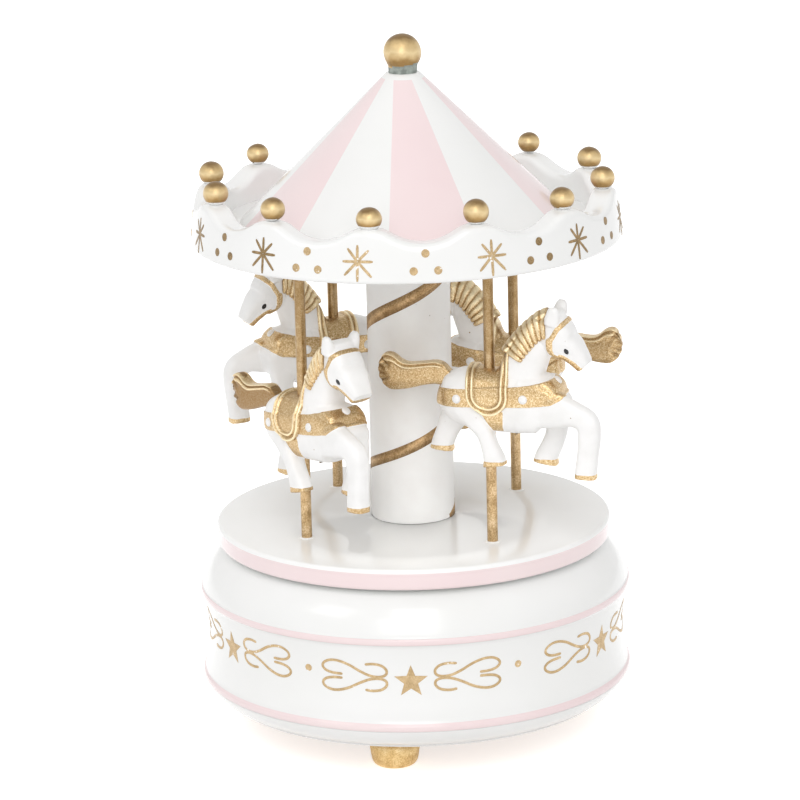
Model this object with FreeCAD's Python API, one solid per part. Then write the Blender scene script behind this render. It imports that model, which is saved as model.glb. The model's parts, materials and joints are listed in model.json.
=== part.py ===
import FreeCAD, Part
import math
import os

V = FreeCAD.Vector
X_AXIS = V(1, 0, 0)
Y_AXIS = V(0, 1, 0)
Z_AXIS = V(0, 0, 1)

# Carousel music box, millimetres, +Z up, origin on the turning axis at the floor under the feet.
# Angles around the axis are measured from the front (-Y) towards +X.

# Feet
foot_height = 8.5
foot_top_radius = 5.9
foot_bottom_radius = 5.1
foot_edge_round = 1.4
foot_edge_inset = 12.5
foot_count = 3
foot_first_angle = -9.7
foot_peg_radius = 2.4
foot_peg_length = 3.2

# Base drum
bead_radius = 54.0
bead_half_width = 1.1
bead_height = 0.3
lower_bead_level = 6.8
upper_bead_level = 28.6
waist_dip = 1.8
foot_inset_depth = 5.5
shoulder_inset_depth = 7.5
foot_curve_bulge = 0.7
shoulder_bulge = 1.1
base_wall = 5.2
base_top_thickness = 4.4
movement_headroom = 2.105
boss_radius = 5.0
boss_wall_overlap = 1.0
boss_height = 8.0
boss_first_angle = 50.3

# Bottom cover
cover_margin = 2.4
cover_thickness = 4.0
cover_clearance = 0.1
sound_hole_radius = 4.5
sound_hole_circle_radius = 28.0
sound_hole_angle = -102.0

# Screws
screw_shank_radius = 1.1
screw_head_radius = 2.2
screw_head_height = 1.4
screw_head_recess = 0.4
screw_hole_clearance = 0.1
screw_slot_width = 0.5
screw_slot_depth = 0.6
cover_screw_grip = 6.0

# Running fits and seats
running_fit = 0.05
glue_fit = 0.05

# Turntable, column and canopy
table_gap = 1.07
table_radius = 49.3
table_thickness = 4.7
table_edge_round = 1.2
column_radius = 10.4
column_height = 72.7
column_socket_radius = 6.4
column_socket_depth = 9.0
dowel_radius = 4.0
dowel_depth = 10.0
dowel_rise = 7.0
ceiling_thickness = 3.0
rim_drop = 1.5
rim_bottom_radius = 53.5
rim_draft = 1.5
rim_wall = 7.5
rim_height = 12.8
rim_scallop_depth = 3.6
rim_scallop_radius = 15.4
scallop_count = 12
crest_first_angle = -10.5
rim_ball_inset = 4.6
rim_ball_radius = 3.15
rim_ball_sink = 0.35
rim_ball_peg_radius = 1.2
rim_ball_peg_length = 4.0
roof_ledge = 4.8
roof_top_radius = 4.2
roof_height = 36.6
roof_wall = 3.4
roof_nose_height = 14.0
finial_radius = 4.7
finial_neck_radius = 3.65
finial_rise = 4.9
finial_peg_radius = 1.5
finial_peg_length = 7.0

# Poles and horses: place around the axis, saddle height over the turntable, heading from +X,
# nose-up pitch of each horse as it was glued
pole_radius = 1.3
pole_circle_radius = 32.7
pole_first_angle = -54.1
pole_step_angle = 90.0
saddle_heights = (36.2, 43.6, 40.6, 44.5)
horse_headings = (-51.8, -17.0, 165.0, -156.7)
horse_pitches = (4.2, 0.0, 0.0, 0.0)

# Spindle and its bush, hub and nut
spindle_radius = 3.0
spindle_flange_radius = 6.0
spindle_flange_thickness = 1.2
bush_radius = 5.0
bush_flange_radius = 7.0
bush_flange_thickness = 0.5
hub_radius = 4.6
hub_flange_radius = 9.0
hub_flange_thickness = 1.2
nut_across_flats = 8.0
nut_height = 3.5
spindle_end_over_nut = 1.2

# Bedplate
bedplate_thickness = 2.0
bedplate_wall_gap = 2.5
bedplate_margin = 1.6
movement_screw_inset = 4.2

# Winding key and arbor
arbor_radius = 2.5
arbor_collar_radius = 4.2
arbor_collar_thickness = 0.5
arbor_collar_play = 0.15
arbor_cap_gap = 0.4
cover_arbor_clearance = 0.4
key_floor_gap = 1.5
key_cover_gap = 0.6
key_boss_radius = 4.2
key_span = 24.0
key_wing_height = 5.4
key_wing_thickness = 1.6
key_wing_round = 2.4
key_eye_radius = 1.3
key_socket_floor = 1.0

# Spring barrel and mainspring
barrel_radius = 12.5
barrel_wall = 1.0
barrel_floor = 1.2
barrel_height = 11.0
cap_thickness = 1.2
spring_strip = 0.5
spring_step = 0.75
spring_first_radius = 3.4
spring_half_turns = 10
spring_end_gap = 0.4

# Gears
pressure_angle = 20.0
crown_teeth = 42
crown_outer_radius = 13.6
pinion_teeth = 20
crown_module = 0.6
pinion_width = 1.2
train_module = 0.5
wheel_teeth = 32
second_pinion_teeth = 10
fly_pinion_teeth = 8
wheel_width = 1.0
gear_backlash = 0.2
gear_addendum = 0.75
gear_dedendum = 1.2
second_axis_angle = -20.0
fly_axis_angle = -15.0
pinion_overhang = 0.1

# Music cylinder, shaft, brackets and train plates, as places along the shaft (+X)
cylinder_radius = 6.0
cylinder_start = 17.0
pin_radius = 0.2
pin_height = 0.35
pins_per_tooth = 3
pin_spread_angle = 137.5
shaft_radius = 1.0
shaft_end_play = 0.3
bracket_start = 14.7
bracket_thickness = 1.4
bracket_half_width = 4.0
bracket_foot_length = 4.0
bracket_foot_thickness = 1.2
wheel_gap = 0.4
wheel_spacing = 0.6
plate_gap = 0.5
plate_thickness = 1.4
plate_margin = 4.2
plate_edge_gap = 0.75
inner_plate_gap = 1.6
inner_plate_clear = 0.9
arbor_pivot_radius = 0.8

# Fly
vane_span = 12.0
vane_width = 7.5
vane_thickness = 0.6
vane_sleeve_radius = 1.6
vane_plate_gap = 1.2

# Comb
comb_teeth = 18
comb_margin = 0.3
comb_slot = 0.25
comb_thickness = 0.9
comb_tooth_length = 8.5
comb_root_length = 6.0
comb_pin_gap = 0.15
comb_screw_count = 2
comb_screw_inset_share = 0.2
comb_screw_grip = 5.0

# Horse, in its own frame: X ahead, Y left, Z up, origin where the pole enters the saddle.
# Each section of body, neck, head and legs is (ahead, left, up, half height, half width).
body_sections = (
    (-12.2, 0.0, -6.4, 2.4, 2.2),
    (-9.6, 0.0, -6.5, 5.7, 4.9),
    (-5.0, 0.0, -6.9, 7.4, 6.0),
    (2.0, 0.0, -7.7, 7.5, 6.1),
    (9.0, 0.0, -7.6, 7.8, 6.1),
    (13.5, 0.0, -7.8, 7.2, 6.0),
    (16.4, 0.0, -8.9, 4.9, 5.5),
    (19.3, 0.0, -9.6, 2.6, 3.8),
)
neck_sections = (
    (6.8, 0.0, -5.5, 6.6, 5.2),
    (8.9, 0.0, 1.0, 5.4, 4.3),
    (11.4, 0.0, 6.8, 4.7, 3.7),
    (14.4, 0.0, 12.4, 3.1, 2.8),
)
head_sections = (
    (13.8, 0.0, 13.3, 2.3, 2.8),
    (16.2, 0.0, 11.1, 3.9, 4.2),
    (17.8, 0.0, 9.0, 4.1, 4.6),
    (19.2, 0.0, 7.3, 3.8, 4.5),
    (21.0, 0.0, 6.0, 3.0, 4.0),
    (22.7, 0.0, 4.0, 2.3, 3.3),
    (24.0, 0.0, 2.1, 1.8, 2.7),
)
poll_sections = ((16.4, 0.0, 12.0, 2.2, 4.0), (17.0, 0.0, 15.5, 1.5, 3.6))
leg_sections = (
    ((14.5, -3.4, -8.6, 4.5, 2.6), (18.5, -3.9, -8.8, 4.0, 2.6), (22.6, -4.1, -9.6, 3.1, 2.5),
     (26.2, -4.2, -11.0, 2.2, 2.0)),
    ((25.8, -4.2, -9.8, 2.3, 2.1), (25.9, -4.2, -14.0, 2.7, 2.3), (25.4, -4.2, -19.5, 2.5, 2.3),
     (24.9, -4.2, -25.0, 2.7, 2.4)),
    ((15.6, 3.2, -10.0, 3.8, 2.5), (15.9, 3.6, -14.5, 2.7, 2.4), (14.4, 3.6, -19.5, 2.6, 2.3),
     (12.8, 3.6, -23.8, 3.2, 2.4)),
    ((-5.0, -3.0, -8.0, 4.8, 2.9), (-1.8, -3.8, -13.0, 2.6, 2.6), (0.6, -4.0, -18.0, 2.2, 2.4),
     (2.2, -4.0, -23.0, 3.0, 2.4)),
    ((-7.4, 3.0, -8.0, 4.8, 2.9), (-10.0, 3.6, -13.0, 3.4, 2.6), (-12.2, 3.8, -17.8, 2.7, 2.4),
     (-13.4, 3.8, -21.7, 3.0, 2.4)),
)
tail_outline = ((-9.6, -0.6), (-12.2, 1.3), (-16.2, 1.2), (-20.1, 0.8), (-22.1, 1.3), (-23.8, 2.7), (-25.4, 3.2),
                (-27.0, 2.5), (-28.2, -0.6), (-27.8, -3.4), (-26.6, -5.2), (-24.4, -6.2), (-20.2, -5.7),
                (-16.4, -4.7), (-12.4, -4.4), (-9.0, -4.8))
tail_thickness = 3.2
mane_outline = ((14.7, 15.9), (12.4, 14.8), (9.4, 12.4), (6.9, 9.8), (4.8, 7.2), (3.2, 4.6), (3.8, 2.2),
                (7.0, 1.6), (9.6, 2.8), (11.6, 6.0), (13.2, 7.9), (15.0, 9.4))
mane_thickness = 8.6
ear_root = (16.6, 3.4, 12.4)
ear_tip = (17.3, 4.2, 17.1)
ear_root_radius = 1.8
ear_tip_radius = 1.0
saddle_front = 5.0
saddle_back = -5.2
saddle_depth = 11.2
saddle_raise = 0.6
section_points = 12

# Radii worked out from the sizes above
base_bottom_radius = bead_radius - foot_inset_depth
waist_radius = bead_radius - waist_dip
shoulder_top_radius = bead_radius - shoulder_inset_depth
cavity_radius = waist_radius - base_wall
cover_radius = base_bottom_radius - cover_margin
boss_circle_radius = cavity_radius + boss_wall_overlap - boss_radius
foot_circle_radius = base_bottom_radius - foot_edge_inset
bedplate_round_radius = cavity_radius - bedplate_wall_gap
rim_inner_radius = rim_bottom_radius - rim_wall
rim_ball_circle_radius = rim_bottom_radius - rim_ball_inset
roof_base_radius = rim_inner_radius - roof_ledge

# Levels of the movement, from the floor up
base_bottom = foot_height
cover_top = base_bottom + cover_thickness
bedplate_top = cover_top + bedplate_thickness
barrel_bottom = bedplate_top + 2 * arbor_collar_play + arbor_collar_thickness
barrel_top = barrel_bottom + barrel_height
cap_bottom = barrel_top - cap_thickness
crown_inner_radius = barrel_radius - barrel_wall
crown_pitch_radius = crown_module * crown_teeth / 2
pinion_pitch_radius = crown_module * pinion_teeth / 2
shaft_level = barrel_top + gear_dedendum * crown_module + pinion_pitch_radius

# Axes of the train, as (y, z)
wheel_pitch_radius = train_module * wheel_teeth / 2
wheel_tip_radius = wheel_pitch_radius + train_module * gear_addendum
second_distance = wheel_pitch_radius + train_module * second_pinion_teeth / 2
fly_distance = wheel_pitch_radius + train_module * fly_pinion_teeth / 2


def along(start, distance, angle):
    turn = math.radians(angle)
    return (start[0] + distance * math.cos(turn), start[1] + distance * math.sin(turn))


cylinder_axis = (0.0, shaft_level)
second_axis = along(cylinder_axis, second_distance, second_axis_angle)
fly_axis = along(second_axis, fly_distance, fly_axis_angle)

# Levels over the movement
cavity_top = shaft_level + wheel_tip_radius + movement_headroom
base_top = cavity_top + base_top_thickness
table_bottom = base_top + table_gap
table_top = table_bottom + table_thickness
column_top = table_top + column_height
ceiling_top = column_top + ceiling_thickness
rim_bottom = column_top - rim_drop
rim_top = rim_bottom + rim_height
roof_top = ceiling_top + roof_height

# Places along the cylinder's shaft, from the outer plate's corner inside the drum
plate_edge = fly_axis[0] + plate_margin
outer_plate_end = math.sqrt(bedplate_round_radius ** 2 - plate_edge ** 2) - plate_edge_gap
outer_plate_start = outer_plate_end - plate_thickness
second_wheel_start = outer_plate_start - plate_gap - wheel_width
wheel_start = second_wheel_start - wheel_spacing - wheel_width
cylinder_end = wheel_start - wheel_gap
cylinder_length = cylinder_end - cylinder_start
pinion_start = crown_pitch_radius - pinion_width / 2
shaft_end = outer_plate_end + shaft_end_play
inner_plate_start = wheel_start - inner_plate_gap - plate_thickness
vane_end = inner_plate_start - vane_plate_gap

# Comb places: tips beside the cylinder's pins, teeth side by side along the shaft
comb_tip = cylinder_radius + pin_height + comb_pin_gap
comb_root = comb_tip + comb_tooth_length
comb_back = comb_root + comb_root_length
comb_start = cylinder_start + comb_margin
comb_length = cylinder_length - 2 * comb_margin
comb_tooth_pitch = comb_length / comb_teeth
comb_bottom = shaft_level - comb_thickness / 2
comb_top = comb_bottom + comb_thickness
comb_screw_inset = comb_length * comb_screw_inset_share
comb_screw_step = (comb_length - 2 * comb_screw_inset) / (comb_screw_count - 1)
comb_screw_places = [(comb_start + comb_screw_inset + comb_screw_step * i, -comb_root - comb_root_length / 2)
                     for i in range(comb_screw_count)]

# Bedplate corners and the screws that hold it
bedplate_low = (-crown_outer_radius - bedplate_margin, -comb_back - bedplate_margin)
bedplate_high = (outer_plate_end + bedplate_margin, plate_edge + bedplate_margin)
movement_screw_places = ((bedplate_low[0] + movement_screw_inset, bedplate_low[1] + movement_screw_inset),
                         (bedplate_low[0] + movement_screw_inset, bedplate_high[1] - movement_screw_inset),
                         (bedplate_high[0] - movement_screw_inset, bedplate_low[1] + movement_screw_inset),
                         (cylinder_start + cylinder_length / 2, (second_axis[0] + fly_axis[0]) / 2))


def around(radius, angle):
    turn = math.radians(angle)
    return (radius * math.sin(turn), -radius * math.cos(turn))


def rod(radius, bottom, top, place=(0.0, 0.0)):
    return Part.makeCylinder(radius, top - bottom, V(place[0], place[1], bottom), Z_AXIS)


def rod_x(radius, start, end, axis):
    return Part.makeCylinder(radius, end - start, V(start, axis[0], axis[1]), X_AXIS)


def block(low, high):
    return Part.makeBox(high[0] - low[0], high[1] - low[1], high[2] - low[2], V(*low))


def fused(shapes):
    shapes = list(shapes)
    return shapes[0].multiFuse(shapes[1:]).removeSplitter()


def cut(shape, tools):
    return shape.cut(Part.makeCompound(list(tools)))


def line(a, b):
    return Part.LineSegment(V(a[0], 0, a[1]), V(b[0], 0, b[1])).toShape()


def arc(a, middle, b):
    return Part.Arc(V(a[0], 0, a[1]), V(middle[0], 0, middle[1]), V(b[0], 0, b[1])).toShape()


def turned(edges):
    return Part.Face(Part.Wire(edges)).revolve(V(0, 0, 0), Z_AXIS, 360)


def bulged(a, b, bulge):
    run = (b[0] - a[0], b[1] - a[1])
    length = math.hypot(*run)
    middle = ((a[0] + b[0]) / 2, (a[1] + b[1]) / 2)
    return (middle[0] + bulge * run[1] / length, middle[1] - bulge * run[0] / length)


def screw(place, seat, shank_end):
    head_end = seat - screw_head_height
    head = rod(screw_head_radius, head_end, seat, place)
    half = screw_head_radius + 1
    slot = block((place[0] - half, place[1] - screw_slot_width / 2, head_end - 1),
                 (place[0] + half, place[1] + screw_slot_width / 2, head_end + screw_slot_depth))
    return fused([head, rod(screw_shank_radius, seat, shank_end, place)]).cut(slot)


# Base: feet, drum, cover and screws
foot_turns = [360 * i / foot_count for i in range(foot_count)]
foot_places = [around(foot_circle_radius, foot_first_angle + turn) for turn in foot_turns]
boss_places = [around(boss_circle_radius, boss_first_angle + turn) for turn in foot_turns]
screw_seat = base_bottom + screw_head_recess + screw_head_height


def foot(place):
    peg_top = foot_height + foot_peg_length
    low = (foot_bottom_radius - foot_edge_round, 0)
    side = (foot_bottom_radius, foot_edge_round)
    inset = foot_edge_round * (1 - math.sqrt(0.5))
    middle = (foot_bottom_radius - inset, inset)
    top = (foot_top_radius, foot_height)
    edges = [line((0, 0), low), arc(low, middle, side), line(side, top), line(top, (0, foot_height)),
             line((0, foot_height), (0, 0))]
    shape = fused([turned(edges), rod(foot_peg_radius, foot_height, peg_top)])
    shape.translate(V(place[0], place[1], 0))
    return shape


def base_drum():
    land_radius = bead_radius - bead_height
    lower = base_bottom + lower_bead_level
    upper = base_bottom + upper_bead_level
    bottom = (base_bottom_radius, base_bottom)
    low_a = (land_radius, lower - bead_half_width)
    low_b = (land_radius, lower + bead_half_width)
    up_a = (land_radius, upper - bead_half_width)
    up_b = (land_radius, upper + bead_half_width)
    top = (shoulder_top_radius, base_top)
    edges = [
        arc(bottom, bulged(bottom, low_a, foot_curve_bulge), low_a),
        arc(low_a, (bead_radius, lower), low_b),
        arc(low_b, (waist_radius, (lower + upper) / 2), up_a),
        arc(up_a, (bead_radius, upper), up_b),
        arc(up_b, bulged(up_b, top, shoulder_bulge), top),
        line(top, (0, base_top)),
        line((0, base_top), (0, base_bottom)),
        line((0, base_bottom), bottom),
    ]
    drum = turned(edges)
    drum = cut(drum, [rod(cavity_radius, cover_top, cavity_top),
                      rod(cover_radius + cover_clearance, base_bottom - 1, cover_top),
                      rod(bush_radius, cavity_top - 1, base_top + 1)])
    drum = fused([drum] + [rod(boss_radius, cover_top, cover_top + boss_height, p) for p in boss_places])
    screw_end = screw_seat + cover_screw_grip
    return cut(drum, [rod(screw_shank_radius, cover_top - 1, screw_end, p) for p in boss_places])


def bottom_cover():
    peg_end = base_bottom + foot_peg_length
    holes = [rod(foot_peg_radius + glue_fit, base_bottom - 1, peg_end, p) for p in foot_places]
    for place in list(boss_places) + list(movement_screw_places):
        holes.append(rod(screw_shank_radius + screw_hole_clearance, base_bottom - 1, cover_top + 1, place))
        holes.append(rod(screw_head_radius + screw_hole_clearance, base_bottom - 1, screw_seat, place))
    holes.append(rod(arbor_radius + cover_arbor_clearance, base_bottom - 1, cover_top + 1))
    sound_hole_place = around(sound_hole_circle_radius, sound_hole_angle)
    holes.append(rod(sound_hole_radius, base_bottom - 1, cover_top + 1, sound_hole_place))
    return cut(rod(cover_radius, base_bottom, cover_top), holes)


def cover_screw(place):
    return screw(place, screw_seat, screw_seat + cover_screw_grip)


def movement_screw(place):
    return screw(place, screw_seat, bedplate_top)


# Turntable, column and canopy
pole_angles = [pole_first_angle + pole_step_angle * i for i in range(len(saddle_heights))]
pole_places = [around(pole_circle_radius, angle) for angle in pole_angles]
pole_bottom = table_bottom + glue_fit
pole_top = column_top + ceiling_thickness - 2 * glue_fit


def turntable():
    plate = rod(table_radius, table_bottom, table_top)
    rims = [edge for edge in plate.Edges if len(edge.Vertexes) == 1]
    plate = plate.makeFillet(table_edge_round, rims)
    holes = [rod(pole_radius + glue_fit, table_bottom - 1, table_top + 1, p) for p in pole_places]
    holes.append(rod(hub_radius, table_bottom - 1, table_top + 1))
    holes.append(rod(hub_flange_radius, table_bottom - 1, table_bottom + hub_flange_thickness))
    return cut(plate, holes)


def column():
    return cut(rod(column_radius, table_top, column_top),
               [rod(column_socket_radius, table_top - 1, table_top + column_socket_depth),
                rod(dowel_radius, column_top - dowel_depth, column_top + 1)])


def canopy_ceiling():
    holes = [rod(pole_radius + glue_fit, column_top - 1, pole_top + glue_fit, p) for p in pole_places]
    holes.append(rod(dowel_radius, column_top - 1, ceiling_top + 1))
    return cut(rod(rim_inner_radius, column_top, ceiling_top), holes)


crest_angles = [crest_first_angle + 360 * i / scallop_count for i in range(scallop_count)]
ball_places = [around(rim_ball_circle_radius, angle) for angle in crest_angles]


def canopy_rim():
    inner_low = (rim_inner_radius, rim_bottom)
    outer_low = (rim_bottom_radius, rim_bottom)
    outer_high = (rim_bottom_radius - rim_draft, rim_top)
    inner_high = (rim_inner_radius, rim_top)
    ring = turned([line(inner_low, outer_low), line(outer_low, outer_high), line(outer_high, inner_high),
                   line(inner_high, inner_low)])
    tools = []
    for angle in crest_angles:
        ahead = V(*around(1, angle + 180 / scallop_count), 0)
        start = ahead * (rim_inner_radius / 2) + V(0, 0, rim_top - rim_scallop_depth + rim_scallop_radius)
        tools.append(Part.makeCylinder(rim_scallop_radius, rim_bottom_radius, start, ahead))
    peg_hole = rim_ball_peg_radius + glue_fit
    tools += [rod(peg_hole, rim_top - rim_ball_peg_length, rim_top + 1, p) for p in ball_places]
    return cut(ring, tools)


def rim_ball(place):
    level = rim_top + rim_ball_radius - rim_ball_sink
    ball = Part.makeSphere(rim_ball_radius, V(place[0], place[1], level))
    ball = ball.common(rod(2 * rim_ball_radius, rim_top, level + 2 * rim_ball_radius, place))
    peg_bottom = rim_top - rim_ball_peg_length + glue_fit
    peg = rod(rim_ball_peg_radius, peg_bottom, rim_top + rim_ball_radius / 2, place)
    return fused([ball, peg])


def canopy_roof():
    low = (roof_base_radius, ceiling_top)
    high = (roof_top_radius, roof_top)
    outside = turned([line((0, ceiling_top), low), line(low, high),
                      line(high, (0, roof_top)), line((0, roof_top), (0, ceiling_top))])
    cavity_high = roof_height - roof_nose_height
    slope = (roof_base_radius - roof_top_radius) / roof_height
    cavity = Part.makeCone(roof_base_radius - roof_wall, roof_base_radius - roof_wall - slope * cavity_high,
                           cavity_high, V(0, 0, ceiling_top), Z_AXIS)
    peg_hole = rod(finial_peg_radius + glue_fit, roof_top - finial_peg_length, roof_top + 1)
    return cut(outside, [cavity, peg_hole])


def finial_top():
    level = roof_top + finial_rise
    return fused([Part.makeSphere(finial_radius, V(0, 0, level)),
                  rod(finial_neck_radius, roof_top, level),
                  rod(finial_peg_radius, roof_top - finial_peg_length + glue_fit, roof_top + 1)])


# Horses
def section(place, ahead, half_height, half_width):
    up = ahead.cross(Y_AXIS) * -1
    points = []
    for i in range(section_points):
        turn = 2 * math.pi * i / section_points
        points.append(place + up * (half_height * math.cos(turn)) + Y_AXIS * (half_width * math.sin(turn)))
    curve = Part.BSplineCurve()
    curve.interpolate(Points=points, PeriodicFlag=True)
    return Part.Wire(curve.toShape())


def limb(sections, ahead):
    wires = [section(V(*s[:3]), ahead, s[3], s[4]) for s in sections]
    return Part.makeLoft(wires, True, False)


def run_of(sections):
    run = V(*sections[-1][:3]) - V(*sections[0][:3])
    run.y = 0
    return run.normalize()


def side_slab(outline, thickness):
    points = [V(a, -thickness / 2, h) for a, h in outline]
    curve = Part.BSplineCurve()
    curve.interpolate(Points=points, PeriodicFlag=True)
    return Part.Face(Part.Wire(curve.toShape())).extrude(V(0, thickness, 0))


def ear(side):
    root = V(ear_root[0], side * ear_root[1], ear_root[2])
    tip = V(ear_tip[0], side * ear_tip[1], ear_tip[2])
    return Part.makeCone(ear_root_radius, ear_tip_radius, (tip - root).Length, root, tip - root)


def saddle():
    swollen = [(a, b, h, hh + saddle_raise, hw + saddle_raise) for a, b, h, hh, hw in body_sections]
    middle = (saddle_front + saddle_back) / 2
    half = (saddle_front - saddle_back) / 2
    top = body_sections[2][2] + body_sections[2][3] + 4 * saddle_raise
    corner = half - saddle_depth
    flap = [Part.LineSegment(V(saddle_back, 0, top), V(saddle_front, 0, top)).toShape(),
            Part.LineSegment(V(saddle_front, 0, top), V(saddle_front, 0, corner)).toShape(),
            Part.Arc(V(saddle_front, 0, corner), V(middle, 0, -saddle_depth),
                     V(saddle_back, 0, corner)).toShape(),
            Part.LineSegment(V(saddle_back, 0, corner), V(saddle_back, 0, top)).toShape()]
    reach = 3 * body_sections[2][4]
    slab = Part.Face(Part.Wire(flap)).extrude(V(0, 2 * reach, 0))
    slab.translate(V(0, -reach, 0))
    return limb(swollen, X_AXIS).common(slab)


def horse_shape():
    parts = [limb(body_sections, X_AXIS), limb(neck_sections, run_of(neck_sections)),
             limb(head_sections, run_of(head_sections)), limb(poll_sections, run_of(poll_sections)),
             ear(1), ear(-1), saddle(),
             side_slab(tail_outline, tail_thickness), side_slab(mane_outline, mane_thickness)]
    parts += [limb(leg, run_of(leg)) for leg in leg_sections]
    shape = parts[0]
    for piece in parts[1:]:
        shape = shape.fuse(piece)
    return shape


def placed_horse(shape, place, level, heading, pitch):
    horse = shape.copy()
    horse.rotate(V(0, 0, 0), Y_AXIS, -pitch)
    horse.rotate(V(0, 0, 0), Z_AXIS, heading)
    horse.translate(V(place[0], place[1], level))
    bore = rod(pole_radius + glue_fit, level - 2 * saddle_depth, level + 2 * saddle_depth, place)
    return horse.cut(bore)


# Spindle, bush, hub and nut
def spindle():
    end = table_top + nut_height + spindle_end_over_nut
    return fused([rod(spindle_flange_radius, barrel_top, barrel_top + spindle_flange_thickness),
                  rod(spindle_radius, barrel_top, end)])


def spindle_bush():
    body = fused([rod(bush_radius, cavity_top, base_top),
                  rod(bush_flange_radius, base_top, base_top + bush_flange_thickness)])
    return body.cut(rod(spindle_radius + running_fit, cavity_top - 1, table_bottom))


def turntable_hub():
    body = fused([rod(hub_flange_radius, table_bottom, table_bottom + hub_flange_thickness),
                  rod(hub_radius, table_bottom, table_top)])
    return body.cut(rod(spindle_radius, table_bottom - 1, table_top + 1))


def spindle_nut():
    corner = nut_across_flats / math.sqrt(3)
    turns = [math.radians(60 * i) for i in range(7)]
    points = [V(corner * math.cos(turn), corner * math.sin(turn), table_top) for turn in turns]
    nut = Part.Face(Part.makePolygon(points)).extrude(V(0, 0, nut_height))
    return nut.cut(rod(spindle_radius, table_top - 1, table_top + nut_height + 1))


# Winding: key, arbor, barrel, cap and mainspring
key_bottom = key_floor_gap
key_top = base_bottom - key_cover_gap
arbor_bottom = key_bottom + key_socket_floor


def winding_key():
    half = key_span / 2
    wing_top = key_bottom + key_wing_height
    thick = key_wing_thickness / 2
    wings = block((-half, -thick, key_bottom), (half, thick, wing_top))
    ends = [edge for edge in wings.Edges
            if abs(abs(edge.CenterOfMass.x) - half) < 0.01 and abs(edge.CenterOfMass.y) < 0.01]
    wings = wings.makeFillet(key_wing_round, ends)
    eye_reach = half - key_wing_round - key_eye_radius
    eye_level = (key_bottom + wing_top) / 2
    eyes = [Part.makeCylinder(key_eye_radius, 4 * thick, V(side * eye_reach, -2 * thick, eye_level), Y_AXIS)
            for side in (-1, 1)]
    body = fused([cut(wings, eyes), rod(key_boss_radius, key_bottom, key_top)])
    return body.cut(rod(arbor_radius, arbor_bottom, key_top + 1))


def winding_arbor():
    collar_bottom = bedplate_top + arbor_collar_play
    return fused([rod(arbor_radius, arbor_bottom, cap_bottom - arbor_cap_gap),
                  rod(arbor_collar_radius, collar_bottom, collar_bottom + arbor_collar_thickness)])


def crown_tooth(angle):
    pitch = math.pi * crown_module
    top = gear_addendum * crown_module
    root = -gear_dedendum * crown_module
    slant = math.tan(math.radians(pressure_angle))
    half = pitch / 4 - gear_backlash / 2
    level = barrel_top + gear_dedendum * crown_module
    outline = [(-half + root * slant, root), (half - root * slant, root), (half - top * slant, top),
               (-half + top * slant, top)]
    points = [V(crown_inner_radius, y, level + z) for y, z in outline + outline[:1]]
    tooth = Part.Face(Part.makePolygon(points)).extrude(V(crown_outer_radius - crown_inner_radius, 0, 0))
    tooth.rotate(V(0, 0, 0), Z_AXIS, angle)
    return tooth


def spring_barrel():
    shell = rod(barrel_radius, barrel_bottom, barrel_top)
    flange = rod(crown_outer_radius, cap_bottom, barrel_top)
    hollow = rod(crown_inner_radius, barrel_bottom + barrel_floor, barrel_top + 1)
    bore = rod(arbor_radius + running_fit, barrel_bottom - 1, barrel_top)
    body = cut(fused([shell, flange]), [hollow, bore])
    step = 360 / crown_teeth
    return fused([body] + [crown_tooth(step * (i + 0.5)) for i in range(crown_teeth)])


def mainspring():
    bottom = barrel_bottom + barrel_floor
    outer = []
    inner = []
    for i in range(spring_half_turns):
        side = 1 if i % 2 == 0 else -1
        centre = V(side * spring_step / 2, 0, bottom)
        radius = spring_first_radius + spring_step * i
        for chain, r in ((inner, radius), (outer, radius + spring_strip)):
            start = centre + V(-side * r, 0, 0)
            middle = centre + V(0, side * r, 0)
            end = centre + V(side * r, 0, 0)
            chain.append(Part.Arc(start, middle, end).toShape())
    closing = [Part.LineSegment(inner[0].Vertexes[0].Point, outer[0].Vertexes[0].Point).toShape(),
               Part.LineSegment(inner[-1].Vertexes[-1].Point, outer[-1].Vertexes[-1].Point).toShape()]
    wire = Part.Wire(Part.__sortEdges__(inner + outer + closing))
    return Part.Face(wire).extrude(V(0, 0, cap_bottom - spring_end_gap - bottom))


# Gear wheel with its axis along +X, a tooth at the given angle from +Y towards +Z
def gear(module, teeth, start, width, axis, tooth_angle):
    pitch_radius = module * teeth / 2
    base_radius = pitch_radius * math.cos(math.radians(pressure_angle))
    tip = pitch_radius + gear_addendum * module
    root = pitch_radius - gear_dedendum * module

    def flare(radius):
        lean = math.acos(min(1.0, base_radius / radius))
        return math.tan(lean) - lean

    half_pitch = math.pi / (2 * teeth) - gear_backlash / (2 * pitch_radius)
    flank = max(base_radius, root)
    radii = [flank + (tip - flank) * i / 3 for i in range(4)]
    if flank > root:
        radii = [root] + radii
    points = []
    for i in range(teeth):
        middle = math.radians(tooth_angle) + 2 * math.pi * i / teeth
        sides = [(r, half_pitch + flare(pitch_radius) - flare(max(r, flank))) for r in radii]
        for r, half in sides:
            points.append((r, middle - half))
        for r, half in reversed(sides):
            points.append((r, middle + half))
    corners = [V(start, axis[0] + r * math.cos(t), axis[1] + r * math.sin(t)) for r, t in points]
    return Part.Face(Part.makePolygon(corners + corners[:1])).extrude(V(width, 0, 0))


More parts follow.
